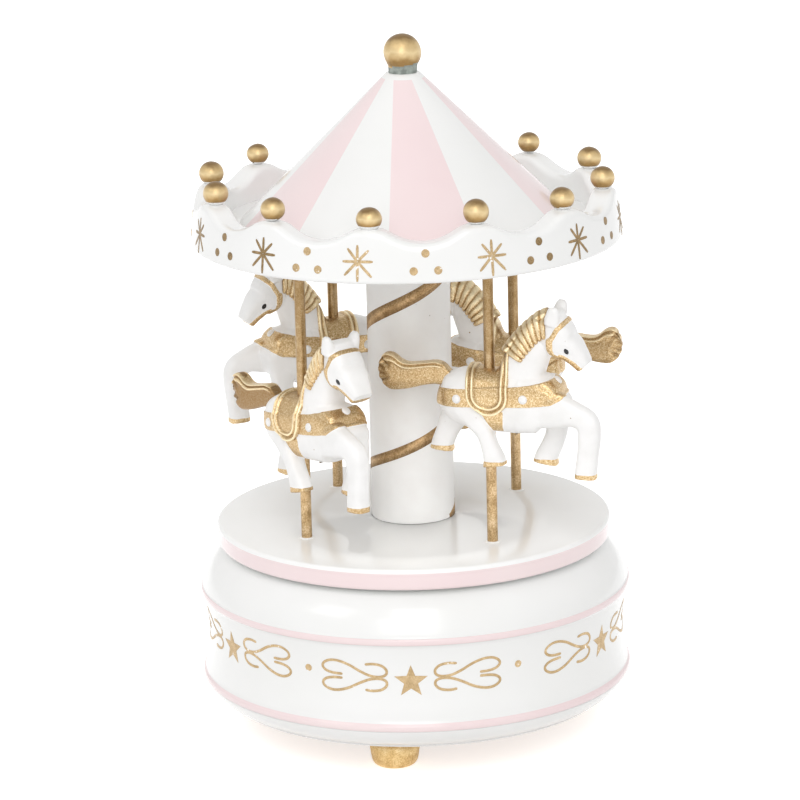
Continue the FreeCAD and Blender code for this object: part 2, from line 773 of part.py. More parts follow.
# Music cylinder with its shaft, pinion and wheel
def music_cylinder():
    body = rod_x(cylinder_radius, cylinder_start, cylinder_end, cylinder_axis)
    pins = []
    for i in range(comb_teeth):
        for k in range(pins_per_tooth):
            turn = math.radians(pin_spread_angle * (i + k * comb_teeth) + 360 * k / pins_per_tooth)
            ahead = V(0, math.cos(turn), math.sin(turn))
            root = V(comb_start + (i + 0.5) * comb_tooth_pitch, *cylinder_axis)
            start = root + ahead * (cylinder_radius - 1)
            pins.append(Part.makeCylinder(pin_radius, 1 + pin_height, start, ahead))
    bore = rod_x(shaft_radius, cylinder_start - 1, cylinder_end + 1, cylinder_axis)
    return fused([body] + pins).cut(bore)


def cylinder_pinion():
    disc = gear(crown_module, pinion_teeth, pinion_start, pinion_width, cylinder_axis, -90)
    sleeve = rod_x(2 * shaft_radius, pinion_start, bracket_start - shaft_end_play, cylinder_axis)
    return fused([disc, sleeve]).cut(rod_x(shaft_radius, pinion_start - 1, bracket_start, cylinder_axis))


def cylinder_wheel():
    disc = gear(train_module, wheel_teeth, wheel_start, wheel_width, cylinder_axis, second_axis_angle)
    return disc.cut(rod_x(shaft_radius, wheel_start - 1, wheel_start + wheel_width + 1, cylinder_axis))


def second_wheel():
    gap = second_axis_angle + 180 + 180 / second_pinion_teeth
    start = wheel_start - pinion_overhang
    width = wheel_width + 2 * pinion_overhang
    return fused([gear(train_module, second_pinion_teeth, start, width, second_axis, gap),
                  gear(train_module, wheel_teeth, second_wheel_start, wheel_width, second_axis,
                       fly_axis_angle),
                  rod_x(arbor_pivot_radius, inner_plate_start - shaft_end_play, shaft_end, second_axis)])


def fly_arbor():
    gap = fly_axis_angle + 180 + 180 / fly_pinion_teeth
    start = second_wheel_start - pinion_overhang
    width = wheel_width + 2 * pinion_overhang
    return fused([gear(train_module, fly_pinion_teeth, start, width, fly_axis, gap),
                  rod_x(arbor_pivot_radius, vane_end - vane_width, shaft_end, fly_axis)])


def fly_vane():
    start = vane_end - vane_width
    thick = vane_thickness / 2
    blade = block((start, fly_axis[0] - vane_span / 2, fly_axis[1] - thick),
                  (vane_end, fly_axis[0] + vane_span / 2, fly_axis[1] + thick))
    body = fused([blade, rod_x(vane_sleeve_radius, start, vane_end, fly_axis)])
    return body.cut(rod_x(arbor_pivot_radius, start - 1, vane_end + 1, fly_axis))


# Bedplate, bracket, train plates and comb
def bedplate():
    plate = block((*bedplate_low, cover_top), (*bedplate_high, bedplate_top))
    plate = plate.common(rod(bedplate_round_radius, cover_top, bedplate_top))
    holes = [rod(arbor_radius + running_fit, cover_top - 1, bedplate_top + 1)]
    holes += [rod(screw_shank_radius, cover_top - 1, bedplate_top + 1, p) for p in movement_screw_places]
    return cut(plate, holes)


def shaft_bracket():
    end = bracket_start + bracket_thickness
    low = (bracket_start, -bracket_half_width, bedplate_top)
    upright = block(low, (end, bracket_half_width, shaft_level))
    head = rod_x(bracket_half_width, bracket_start, end, cylinder_axis)
    base = block(low, (bracket_start + bracket_foot_length, bracket_half_width,
                       bedplate_top + bracket_foot_thickness))
    bore = rod_x(shaft_radius + running_fit, bracket_start - 1, end + 1, cylinder_axis)
    return fused([upright, head, base]).cut(bore)


def train_plate(start, first_edge, top, bores):
    end = start + plate_thickness
    plate = block((start, first_edge, bedplate_top), (end, plate_edge, top))
    return cut(plate, [rod_x(radius + running_fit, start - 1, end + 1, axis) for radius, axis in bores])


def train_plate_outer():
    bores = [(shaft_radius, cylinder_axis), (arbor_pivot_radius, second_axis),
             (arbor_pivot_radius, fly_axis)]
    return train_plate(outer_plate_start, -plate_margin, shaft_level + plate_margin, bores)


def train_plate_inner():
    bores = [(arbor_pivot_radius, second_axis), (arbor_pivot_radius, fly_axis)]
    return train_plate(inner_plate_start, comb_tip + inner_plate_clear, second_axis[1] + plate_margin, bores)


def comb():
    plate = block((comb_start, -comb_back, comb_bottom), (comb_start + comb_length, -comb_tip, comb_top))
    slots = []
    for i in range(1, comb_teeth):
        middle = comb_start + comb_tooth_pitch * i
        slots.append(block((middle - comb_slot / 2, -comb_root, comb_bottom - 1),
                           (middle + comb_slot / 2, -comb_tip + 1, comb_top + 1)))
    slots += [rod(screw_shank_radius + screw_hole_clearance, comb_bottom - 1, comb_top + 1, p)
              for p in comb_screw_places]
    return cut(plate, slots)


def comb_block():
    body = block((comb_start, -comb_back, bedplate_top),
                 (comb_start + comb_length, -comb_root, comb_bottom))
    return cut(body, [rod(screw_shank_radius, comb_bottom - comb_screw_grip, comb_bottom + 1, p)
                      for p in comb_screw_places])


def comb_screw(place):
    body = screw((0, 0), 0, comb_thickness + comb_screw_grip)
    body.rotate(V(0, 0, 0), X_AXIS, 180)
    body.translate(V(place[0], place[1], comb_top))
    return body


# Every piece by name
nodes = {
    "base_drum": base_drum(),
    "bottom_cover": bottom_cover(),
    "cover_screws": Part.makeCompound([cover_screw(p) for p in boss_places]),
    "movement_screws": Part.makeCompound([movement_screw(p) for p in movement_screw_places]),
    "bedplate": bedplate(),
    "shaft_bracket": shaft_bracket(),
    "train_plate_outer": train_plate_outer(),
    "train_plate_inner": train_plate_inner(),
    "comb": comb(),
    "comb_block": comb_block(),
    "comb_screws": Part.makeCompound([comb_screw(p) for p in comb_screw_places]),
    "spindle_bush": spindle_bush(),
    "winding_key": winding_key(),
    "winding_arbor": winding_arbor(),
    "spring_barrel": spring_barrel(),
    "barrel_cap": rod(crown_inner_radius - glue_fit, cap_bottom, barrel_top),
    "mainspring": mainspring(),
    "music_cylinder": music_cylinder(),
    "cylinder_shaft": rod_x(shaft_radius, pinion_start - shaft_end_play, shaft_end, cylinder_axis),
    "cylinder_pinion": cylinder_pinion(),
    "cylinder_wheel": cylinder_wheel(),
    "second_wheel": second_wheel(),
    "fly_arbor": fly_arbor(),
    "fly_vane": fly_vane(),
    "spindle": spindle(),
    "turntable_hub": turntable_hub(),
    "spindle_nut": spindle_nut(),
    "turntable": turntable(),
    "column": column(),
    "column_dowel": rod(dowel_radius, column_top - dowel_depth, column_top + dowel_rise),
    "canopy_ceiling": canopy_ceiling(),
    "canopy_rim": canopy_rim(),
    "canopy_roof": canopy_roof(),
    "finial_top": finial_top(),
}
for number, place in enumerate(foot_places, 1):
    nodes["foot_%d" % number] = foot(place)
for number, place in enumerate(ball_places, 1):
    nodes["rim_ball_%02d" % number] = rim_ball(place)
one_horse = horse_shape()
for number, place in enumerate(pole_places, 1):
    level = table_top + saddle_heights[number - 1]
    nodes["pole_%d" % number] = rod(pole_radius, pole_bottom, pole_top, place)
    turns = (horse_headings[number - 1], horse_pitches[number - 1])
    nodes["horse_%d" % number] = placed_horse(one_horse, place, level, *turns)

os.makedirs("parts", exist_ok=True)
for name, shape in nodes.items():
    shape.exportStep(os.path.join("parts", name + ".step"))
    print(name, "valid" if shape.isValid() else "INVALID", len(shape.Solids), round(shape.Volume, 1))
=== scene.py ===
# %% [markdown]
# Carousel music box, dressed in Blender.
#
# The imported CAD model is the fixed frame: it says where every piece sits and what turns. This lesson builds
# what the eye sees around it: sprayed lacquer on turned wood, gilded prints, gold paint and four cast
# horses. Sizes are written in millimetres, as a maker would, and turned to metres when a mesh is made.

# %% Load the frame
import json
import math

import bpy
import numpy as np
from mathutils import Matrix, Vector, noise
from mathutils.bvhtree import BVHTree


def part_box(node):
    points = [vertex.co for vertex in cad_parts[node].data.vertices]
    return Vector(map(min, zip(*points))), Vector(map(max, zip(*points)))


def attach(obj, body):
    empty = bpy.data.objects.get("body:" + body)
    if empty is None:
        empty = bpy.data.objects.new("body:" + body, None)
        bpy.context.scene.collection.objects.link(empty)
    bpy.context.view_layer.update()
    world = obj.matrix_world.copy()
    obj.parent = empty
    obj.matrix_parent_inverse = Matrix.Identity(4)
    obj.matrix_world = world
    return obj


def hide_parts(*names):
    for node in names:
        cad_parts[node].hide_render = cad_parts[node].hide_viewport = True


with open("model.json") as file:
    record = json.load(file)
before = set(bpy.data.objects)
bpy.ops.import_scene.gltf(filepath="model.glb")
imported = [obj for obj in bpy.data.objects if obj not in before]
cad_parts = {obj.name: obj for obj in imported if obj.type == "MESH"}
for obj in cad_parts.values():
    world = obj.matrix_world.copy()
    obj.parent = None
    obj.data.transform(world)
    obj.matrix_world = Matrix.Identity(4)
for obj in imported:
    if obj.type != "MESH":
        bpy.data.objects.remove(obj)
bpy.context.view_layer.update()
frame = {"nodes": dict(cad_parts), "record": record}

MM = 0.001
nodes = frame["nodes"]

# %% [markdown]
# Levels and radii come from the CAD nodes themselves, so the dressed pieces can't drift away from them.
# Angles round the axis start at the front, where the camera stands, and grow towards the right.

# %% Levels and radii from the frame


def levels(node):
    low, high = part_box(node)
    return low.z / MM, high.z / MM


def reach(node):
    low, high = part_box(node)
    return min(high.x - low.x, high.y - low.y) / MM / 2


base_bottom, base_top = levels("base_drum")
table_bottom, table_top = levels("turntable")
column_bottom, column_top = levels("column")
rim_bottom, rim_top = levels("canopy_rim")
roof_bottom, roof_top = levels("canopy_roof")
finial_top = levels("finial_top")[1]
bead_radius = reach("base_drum")
table_radius = reach("turntable")
column_radius = reach("column")
rim_radius = reach("canopy_rim")
roof_radius = reach("canopy_roof")
print("base top %.2f, table %.2f, rim %.2f to %.2f, roof %.2f"
      % (base_top, table_top, rim_bottom, rim_top, roof_top))


def around(radius, angle, height):
    turn = math.radians(angle)
    return Vector((radius * math.sin(turn), -radius * math.cos(turn), height))


# %% [markdown]
# The photograph was taken with a long lens from a little above the canopy's edge, with the camera rolled by
# a degree or so. A long lens keeps the sides of the drum almost parallel, which is why the ellipses look so
# flat.

# %% Camera
camera_distance = 1043.77
camera_elevation = math.radians(14.655)
camera_roll = math.radians(-1.431)
camera_target = Vector((-2.685, 0.0, 83.096))
focal_pixels = 4182.62
frame_pixels = 800
sensor_width = 36.0

look = Vector((0, math.cos(camera_elevation), -math.sin(camera_elevation)))
level_right = Vector((1, 0, 0))
level_up = level_right.cross(look)
right = level_right * math.cos(camera_roll) + level_up * math.sin(camera_roll)
up = level_up * math.cos(camera_roll) - level_right * math.sin(camera_roll)

camera_data = bpy.data.cameras.new("camera")
camera_data.sensor_width = sensor_width
camera_data.lens = focal_pixels * sensor_width / frame_pixels
camera_data.clip_start = 0.05
camera_data.clip_end = 50.0
camera = bpy.data.objects.new("camera", camera_data)
turn = Matrix((right, up, -look)).transposed().to_4x4()
camera.matrix_world = Matrix.Translation((camera_target - look * camera_distance) * MM) @ turn
bpy.context.scene.collection.objects.link(camera)
bpy.context.scene.camera = camera
print("lens %.1f mm" % camera_data.lens)

# %% [markdown]
# Every finish below is made of nodes. One small function adds a node and fills its inputs, with
# numbers or with links. Short ones stand for the nodes that come again and again: grain, graded
# colours, sums, blends and bumps. Another turns the sRGB hex colours that a paint chart gives into the
# linear numbers that Blender mixes.

# %% Node and colour helpers
bump_depth = 0.0001


def colour(code):
    channels = [int(code[i:i + 2], 16) / 255 for i in (1, 3, 5)]
    return [c / 12.92 if c <= 0.04045 else ((c + 0.055) / 1.055) ** 2.4 for c in channels] + [1.0]


def feed(tree, made, values):
    """Fills a node's inputs: another node's socket is linked, anything else is set."""
    for name, value in values.items():
        if isinstance(value, bpy.types.NodeSocket):
            tree.links.new(value, made.inputs[name])
        else:
            made.inputs[name].default_value = value


def add(tree, kind, settings=None, inputs=None):
    made = tree.nodes.new(kind)
    for name, value in (settings or {}).items():
        setattr(made, name, value)
    feed(tree, made, inputs or {})
    return made


def per_mm(size):
    """Texture scale, in cycles per metre, of a pattern whose grain is that many millimetres."""
    return 1000.0 / size


def grain(tree, place, size, detail=2.0, rough=0.5):
    made = add(tree, "ShaderNodeTexNoise", None,
               {"Vector": place, "Scale": per_mm(size), "Detail": detail, "Roughness": rough})
    return made.outputs["Fac"]


def graded(tree, value, stops):
    """Colours along a value from 0 to 1. A stop that is a number is a grey."""
    made = add(tree, "ShaderNodeValToRGB", None, {"Fac": value})
    elements = made.color_ramp.elements
    while len(elements) < len(stops):
        elements.new(0.5)
    for element, (place, shade) in zip(elements, stops):
        element.position = place
        element.color = colour(shade) if isinstance(shade, str) else (shade, shade, shade, 1)
    return made.outputs["Color"]


def reckon(tree, operation, *values):
    return add(tree, "ShaderNodeMath", {"operation": operation}, dict(enumerate(values))).outputs["Value"]


def spread(tree, value, start, end, low=0.0, high=1.0):
    """The value's range from start to end, spread over low to high."""
    made = add(tree, "ShaderNodeMapRange", None,
               {"Value": value, "From Min": start, "From Max": end, "To Min": low, "To Max": high})
    return made.outputs["Result"]


def blend(tree, share, one, two):
    return add(tree, "ShaderNodeMix", {"data_type": "RGBA"}, {0: share, 6: one, 7: two}).outputs[2]


def bumped(tree, height, strength, depth=bump_depth):
    made = add(tree, "ShaderNodeBump", None, {"Height": height, "Strength": strength, "Distance": depth})
    return made.outputs["Normal"]


def upright(tree, vector):
    return add(tree, "ShaderNodeSeparateXYZ", None, {"Vector": vector}).outputs["Z"]


def new_material(name):
    material = bpy.data.materials.new(name)
    material.use_nodes = True
    tree = material.node_tree
    place = add(tree, "ShaderNodeTexCoord").outputs["Object"]
    return material, tree, tree.nodes["Principled BSDF"], place


def mottled(name, stops, size, detail, gloss):
    """A plain finish whose colour drifts between a few tones."""
    material, tree, shader, place = new_material(name)
    tint = graded(tree, grain(tree, place, size, detail), stops)
    feed(tree, shader, {"Base Color": tint, "Roughness": gloss})
    return material, tree, shader


# %% [markdown]
# Lacquer on turned wood: beech or pine is sanded, sealed and sprayed with a nitrocellulose or polyurethane
# gloss. The eye reads it from its sharp reflections, broken a little by orange peel, the dimples a spray
# gun leaves about 2 mm apart, from a speck of dust here and there, and from a trace of warmth in the white.

# %% Sprayed lacquer
orange_peel_mm = 2.2
cloud_mm = 30.0
dust_gap_mm = 7.2
dust_speck = 0.035
dust_height = 0.6


def lacquer(name, base, cloud, gloss, peel, coat=0.35):
    material, tree, shader, place = new_material(name)
    drift = grain(tree, place, cloud_mm, 3.0)
    dimples = grain(tree, place, orange_peel_mm, 1.0)
    dust = add(tree, "ShaderNodeTexVoronoi", None, {"Vector": place, "Scale": per_mm(dust_gap_mm)})
    speck = graded(tree, dust.outputs["Distance"], [(0.0, 1.0), (dust_speck, 0.0)])
    surface = reckon(tree, "MULTIPLY_ADD", speck, dust_height, dimples)
    feed(tree, shader, {"Base Color": graded(tree, drift, [(0.35, base), (0.7, cloud)]),
                        "Roughness": spread(tree, drift, 0.0, 1.0, gloss * 0.8, gloss * 1.3),
                        "Normal": bumped(tree, surface, peel), "IOR": 1.5,
                        "Coat Weight": coat, "Coat Roughness": 0.06})
    return material


white_lacquer = lacquer("white_lacquer_on_turned_wood", "#F4F4F3", "#F1F1EF", gloss=0.2, peel=0.05)
# The turntable takes a whiter lacquer than the rest, a painted lift against the shade under the canopy.
lightened_table_lacquer = lacquer("white_lacquer_on_turntable", "#FBFBFA", "#F8F8F6", gloss=0.2, peel=0.03, coat=0.0)
pink_lacquer = lacquer("pink_lacquer_on_turned_wood", "#F4E2E2", "#F1DCDD", gloss=0.22, peel=0.05)

# %% [markdown]
# Gold paint is bronze powder in clear varnish, brushed on. The flakes lie at all angles, so the surface has
# a fine bright and dark grain, and a soft broad highlight in place of a mirror. Stamped foil is finer, and
# it may be worn through to the white in small flecks. The paint on a pole carries painted shade: it grows
# browner towards its top, where the canopy's shadow falls. The gold of the dipped balls and finial carries
# painted light that follows the slope of the surface: a painted highlight round the middle, and painted
# shade towards the top and the bottom.

# %% Bronze-powder gold paint
flake_mm = 0.32
flake_rough = 0.65
flake_share = 0.62
fleck_mm = 0.7
brush_mm = 2.4
bare_from_to = (0.415, 0.435)
top_shade_from_to = (0.07, 0.115)
top_shade_share = 0.6


def gold_paint(name, dark, middle, bright, gloss, bumps, wear=None, top_shade=None):
    material, tree, shader, place = new_material(name)
    flakes = grain(tree, place, flake_mm, 2.0, flake_rough)
    patches = grain(tree, place, brush_mm)
    fine = reckon(tree, "MULTIPLY", flakes, flake_share)
    total = reckon(tree, "MULTIPLY_ADD", patches, 1 - flake_share, fine)
    tint = graded(tree, total, [(0.38, dark), (0.5, middle), (0.64, bright)])
    if wear:
        lost = reckon(tree, "MULTIPLY", patches, grain(tree, place, fleck_mm, 1.0))
        tint = blend(tree, spread(tree, lost, *bare_from_to), tint, colour(wear))
    if top_shade:
        # Painted shade: above the given heights the tint turns towards the darker colour, standing in for the
        # canopy's shadow on the poles.
        height = upright(tree, add(tree, "ShaderNodeNewGeometry").outputs["Position"])
        tint = blend(tree, spread(tree, height, *top_shade_from_to, 0.0, top_shade_share), tint, colour(top_shade))
    feed(tree, shader, {"Base Color": tint, "Normal": bumped(tree, total, bumps), "Metallic": 0.85,
                        "Roughness": spread(tree, flakes, 0.0, 1.0, gloss * 0.8, gloss * 1.25)})
    return material


# The feet take a lighter gold than the rest, a painted lift against the shade under the drum.
lightened_gold_on_feet = gold_paint("bronze_powder_paint_on_feet", "#BE9C64", "#DBBC84", "#F0DAAA",
                          gloss=0.45, bumps=0.3)
gold_stripe = gold_paint("bronze_powder_stripe_on_satin_paint", "#886C4A", "#AA8B62", "#C8AA82",
                         gloss=0.45, bumps=0.3)
gold_foil = gold_paint("hot_stamped_gold_foil", "#A48C67", "#B99F78", "#CFB893",
                       gloss=0.4, bumps=0.1, wear="#F4F4F3")
dark_foil = gold_paint("hot_stamped_gold_foil_pressed_hard", "#7C6749", "#917A58", "#A98F6A",
                       gloss=0.4, bumps=0.1)

# Painted light on the dipped balls and finial: the tint follows how far each face turns up, with a painted
# highlight round the middle and painted shade towards the top and the bottom.
highlight_waver = 0.6
light_slopes = (-0.7, 1.3)
painted_light_tones = [(0.0, "#7A5E36"), (0.33, "#AB8954"), (0.57, "#E4CC9C"), (0.74, "#CDB17F"), (0.92, "#866B43")]
gold_with_painted_light, tree, shader, place = new_material("bronze_powder_paint_with_painted_light")
lean = upright(tree, add(tree, "ShaderNodeNewGeometry").outputs["Normal"])
run = reckon(tree, "MULTIPLY_ADD", grain(tree, place, brush_mm, 3.0), highlight_waver, lean)
feed(tree, shader, {"Base Color": graded(tree, spread(tree, run, *light_slopes), painted_light_tones),
                    "Normal": bumped(tree, grain(tree, place, flake_mm), 0.12),
                    "Metallic": 0.5, "Roughness": 0.38})
print("lacquers and golds:", len(bpy.data.materials), "materials so far")

# %% [markdown]
# Satin white paint covers the column and the horses. It is thicker and less shiny than the sprayed lacquer:
# the brush leaves soft unevenness, and corners and faces carry tiny nicks where the grey ground shows.

# %% Satin white paint
nick_mm = 3.4
nick_size = 0.09
nick_depth = 0.8
thick_mm = 6.0
thin_mm = 9.0
brush_line_mm = 1.1


def satin_paint(name, base, shade, nick, gloss):
    material, tree, shader, place = new_material(name)
    tint = graded(tree, grain(tree, place, thick_mm, 4.0), [(0.3, shade), (0.6, base)])
    spots = add(tree, "ShaderNodeTexVoronoi", None,
                {"Vector": place, "Scale": per_mm(nick_mm), "Randomness": 1.0})
    size = spread(tree, grain(tree, place, thin_mm, 1.0), 0.5, 0.75, 0.0, nick_size)
    mark = reckon(tree, "LESS_THAN", spots.outputs["Distance"], size)
    worn = blend(tree, mark, tint, colour(nick))
    depth = reckon(tree, "MULTIPLY_ADD", mark, -nick_depth, grain(tree, place, brush_line_mm))
    feed(tree, shader, {"Base Color": worn, "Normal": bumped(tree, depth, 0.25), "Roughness": gloss,
                        "IOR": 1.48})
    return material, tree, shader, place, worn


column_white = satin_paint("satin_white_paint_on_wood", "#FBFBFA", "#F6F5F4", "#B9B2A8", gloss=0.42)[0]

# %% [markdown]
# Mesh helpers. Turned pieces are lathe work: a profile swept round the axis. Prints and painted lines are
# thin closed bands laid on a surface, so they stay in place from any side. Both are made from points,
# because that gives control of every edge.

# %% Lathe and band helpers


def make_object(name, points, faces, materials, face_materials=None, smooth=True):
    mesh = bpy.data.meshes.new(name)
    mesh.from_pydata([Vector(p) * MM for p in points], [], faces)
    for material in materials:
        mesh.materials.append(material)
    if face_materials is not None:
        mesh.polygons.foreach_set("material_index", face_materials)
    mesh.polygons.foreach_set("use_smooth", [smooth] * len(mesh.polygons))
    mesh.validate()
    made = bpy.data.objects.new(name, mesh)
    bpy.context.scene.collection.objects.link(made)
    return made


def rounded(corners, steps=6):
    """A closed profile of (radius, height, rounding) corners, each corner turned into a small arc."""
    points = []
    count = len(corners)
    for i, (r, z, rounding) in enumerate(corners):
        here = np.array((r, z))
        if rounding <= 0:
            points.append(tuple(here))
            continue
        before = np.array(corners[i - 1][:2]) - here
        after = np.array(corners[(i + 1) % count][:2]) - here
        before /= np.linalg.norm(before)
        after /= np.linalg.norm(after)
        for step in range(steps + 1):
            share = step / steps
            start = here + before * rounding * (1 - share) ** 2
            points.append(tuple(start + after * rounding * share ** 2))
    return points


def grid_faces(rows, columns, close_rows=False, close_columns=True, flip=False, start=0):
    """Four-sided faces between rows of points that follow each other. flip turns their outside round."""
    faces = []
    for row in range(rows if close_rows else rows - 1):
        here = start + row * columns
        there = start + (row + 1) % rows * columns
        for column in range(columns if close_columns else columns - 1):
            after = (column + 1) % columns
            one, two = (there + column, here + after) if flip else (here + after, there + column)
            faces.append((here + column, one, there + after, two))
    return faces


def lathe(name, profile, paints, materials, segments):
    """Sweeps a closed (radius, height) profile round the axis. paints has a material for each edge."""
    points = []
    for i in range(segments):
        points += [around(max(r, 0.0), 360 * i / segments, z) for r, z in profile]
    faces = grid_faces(segments, len(profile), close_rows=True, flip=True)
    return make_object(name, points, faces, materials, list(paints or [0] * len(profile)) * segments)


def band(rows):
    """A closed strip from rows of four corners: two on top, two underneath."""
    points = [p for row in rows for p in row]
    last = len(points) - 1
    faces = [(0, 1, 2, 3)] + grid_faces(len(rows), 4, flip=True)
    return points, faces + [(last, last - 1, last - 2, last - 3)]


def merged(pieces):
    points = []
    faces = []
    for more_points, more_faces in pieces:
        start = len(points)
        points += more_points
        faces += [tuple(start + i for i in face) for face in more_faces]
    return points, faces


def smooth_line(controls, steps=6):
    """Points on a smooth line through the controls (Catmull-Rom)."""
    c = [np.array(p, float) for p in controls]
    c = [2 * c[0] - c[1]] + c + [2 * c[-1] - c[-2]]
    line = []
    for i in range(1, len(c) - 2):
        for k in range(steps):
            t = k / steps
            line.append(0.5 * (2 * c[i] + (c[i + 1] - c[i - 1]) * t
                               + (2 * c[i - 1] - 5 * c[i] + 4 * c[i + 1] - c[i + 2]) * t ** 2
                               + (3 * c[i] - c[i - 1] - 3 * c[i + 1] + c[i + 2]) * t ** 3))
    line.append(c[-2])
    return line


# %% [markdown]
# The base drum is one turned shell: a curve up from the feet, a painted bead, a hollow waist that carries
# the gilding, a second bead and a soft shoulder under the turntable. It is swept as a closed profile with
# its hollow, so it is a real shell and not a skin. The two beads take the pink paint.

# %% Base drum
bead_levels = (base_bottom + 6.5, base_bottom + 28.3)
bead_half = 0.85
bead_land = 0.35
waist_dip = 1.8
waist_gap = 0.25
foot_inset = 5.5
shoulder_inset = 7.5
cavity_radius = 47.0
cover_radius = 46.2
cover_top = base_bottom + 4.0
bush_radius = 5.0
ceiling_of_cavity = base_top - 4.4


def arc_points(a, b, bulge, steps=18):
    """Points from a to b on a shallow arc that bulges to the right of the way."""
    a = np.array(a)
    b = np.array(b)
    run = b - a
    side = np.array((run[1], -run[0])) / np.linalg.norm(run)
    return [tuple(a + run * t + side * bulge * 4 * t * (1 - t)) for t in np.linspace(0, 1, steps)]


def waist_radius(height):
    low, high = bead_levels
    share = (height - low) / (high - low) * 2 - 1
    return bead_radius - bead_land - (waist_dip - bead_land) * max(0.0, 1 - share * share)


land = bead_radius - bead_land
lower, upper = bead_levels
drum_profile = []
drum_paint = []


def drum_run(points, paint):
    drum_profile.extend(points)
    drum_paint.extend([paint] * len(points))


def bead_run(level):
    turns = np.linspace(-1, 1, 11)
    return [(land + bead_land * math.sqrt(max(0.0, 1 - t * t)), level + bead_half * t) for t in turns]


base_edge = bead_radius - foot_inset
shoulder = bead_radius - shoulder_inset
edge_bulge = 0.2
lower_bulge = 0.7
upper_bulge = 1.1
edge_low = (base_edge - 0.6, base_bottom)
edge_high = (base_edge + 0.35, base_bottom + 0.7)
lip_start = (shoulder + 0.9, base_top - 1.0)
lip = [np.array(p) for p in (lip_start, (shoulder - 0.7, base_top), (shoulder - 3.0, base_top))]
lip_shares = np.linspace(0.12, 1, 8)
waist_levels = np.linspace(lower + bead_half + waist_gap, upper - bead_half - waist_gap, 24)
drum_run(arc_points(edge_low, edge_high, edge_bulge, steps=6), 0)
drum_run(arc_points(edge_high, (land, lower - bead_half), lower_bulge), 0)
drum_run(bead_run(lower), 1)
drum_run([(waist_radius(z), z) for z in waist_levels], 0)
drum_run(bead_run(upper), 1)
drum_run(arc_points((land, upper + bead_half), lip_start, upper_bulge, steps=24), 0)
drum_run([tuple(lip[0] * (1 - t) ** 2 + lip[1] * 2 * t * (1 - t) + lip[2] * t * t) for t in lip_shares], 0)
drum_run([(bush_radius, base_top), (bush_radius, ceiling_of_cavity), (cavity_radius, ceiling_of_cavity),
          (cavity_radius, cover_top), (cover_radius, cover_top), (cover_radius, base_bottom)], 0)
base_shell = lathe("base_shell", drum_profile, drum_paint, [white_lacquer, pink_lacquer], segments=256)
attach(base_shell, "base")
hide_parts("base_drum")
print("base shell:", len(base_shell.data.polygons), "faces")

# %% [markdown]
# Three turned feet carry the drum. They taper like small cups, with a well rounded lower edge.

# %% Feet
foot_radius = 5.5
foot_top_radius = 6.8
foot_round = 2.0
foot_corners = ((0.0, 0.0, 0), (foot_radius, 0.0, foot_round), (foot_top_radius, base_bottom, 0),
                (0.0, base_bottom, 0))
for number in (1, 2, 3):
    low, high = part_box("foot_%d" % number)
    cup = lathe("turned_foot_%d" % number, rounded(foot_corners), None, [lightened_gold_on_feet], segments=64)
    cup.data.transform(Matrix.Translation(((low.x + high.x) / 2, (low.y + high.y) / 2, 0)))
    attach(cup, "base")
    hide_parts("foot_%d" % number)
print("feet: 3")

# %% [markdown]
# The gilding on the waist is a traditional run of stars and scrolled hearts, stamped in gold foil six times
# round. Each stroke is a thin closed band that follows the hollow waist, and each star a thin plate bent to
# it.

# %% Prints laid on a turned surface
foil_lift = 0.06
foil_sink = 0.25
end_share = 0.6


def waist_place(middle_angle, level):
    def place(across, along, lift):
        height = level + along
        radius = waist_radius(height) + lift
        return around(radius, middle_angle + math.degrees(across / radius), height)
    return place


def stroke(line, width, place):
    """A foil line of that width along the points, laid on the surface that place() gives."""
    line = np.array(line)
    ahead = np.gradient(line, axis=0)
    ahead /= np.linalg.norm(ahead, axis=1)[:, None]
    side = np.stack((-ahead[:, 1], ahead[:, 0]), 1) * width / 2
    side[[0, -1]] *= end_share
    rows = []
    for middle, half in zip(line, side):
        left = middle + half
        right_side = middle - half
        rows.append((place(*left, foil_lift), place(*right_side, foil_lift),
                     place(*right_side, -foil_sink), place(*left, -foil_sink)))
    return band(rows)


def plate(outline, place, rings=4):
    """A foil plate with a star-shaped or round outline about its own middle."""
    points = [place(0, 0, foil_lift)]
    for ring in range(1, rings + 1):
        points += [place(x * ring / rings, y * ring / rings, foil_lift) for x, y in outline]
    points += [place(x, y, -foil_sink) for x, y in outline]
    points.append(place(0, 0, -foil_sink))
    count = len(outline)
    bottom = len(points) - 1
    under = bottom - count
    faces = [(0, 1 + i, 1 + (i + 1) % count) for i in range(count)]
    faces += grid_faces(rings + 1, count, flip=True, start=1)
    faces += [(under + i, bottom, under + (i + 1) % count) for i in range(count)]
    return points, faces


def star_outline(radius, points=5, inner=0.42, steps=4):
    corners = []
    for i in range(points * 2):
        length = radius if i % 2 == 0 else radius * inner
        turn = math.pi / 2 + math.pi * i / points
        corners.append(np.array((length * math.cos(turn), length * math.sin(turn))))
    outline = []
    for i, corner in enumerate(corners):
        after = corners[(i + 1) % len(corners)]
        outline += [tuple(corner + (after - corner) * k / steps) for k in range(steps)]
    return outline


def dot_outline(radius, count=20):
    return [(radius * math.cos(2 * math.pi * i / count), radius * math.sin(2 * math.pi * i / count))
            for i in range(count)]


# %% Gilding of the waist
gilding_first_angle = -1.89
gilding_count = 6
gilding_level = 26.6
star_radius = 4.25
scroll_axis = 0.83
scroll_width = 0.66
lower_half = 0.94
unit_shifts = ((0.0, 0.0), (2.45, 0.45), (0.0, 0.3), (0.0, 0.0), (0.0, 0.3), (1.4, 1.2))
dot_shifts = (-0.4, 0.0, 0.0, 0.0, 0.0, 1.5)
scroll_line = ((11.2, 3.35), (9.1, 3.55), (7.1, 3.15), (5.95, 2.1), (6.0, 0.95), (7.1, 0.32),
               (8.7, 0.25), (10.4, 0.62), (12.6, 1.6), (15.2, 3.0), (17.9, 3.85), (20.1, 3.85),
               (21.7, 3.05), (22.05, 2.0), (21.1, 1.05), (19.3, 0.6), (16.9, 0.52))
dot_radius = 0.9
dot_height = 1.9

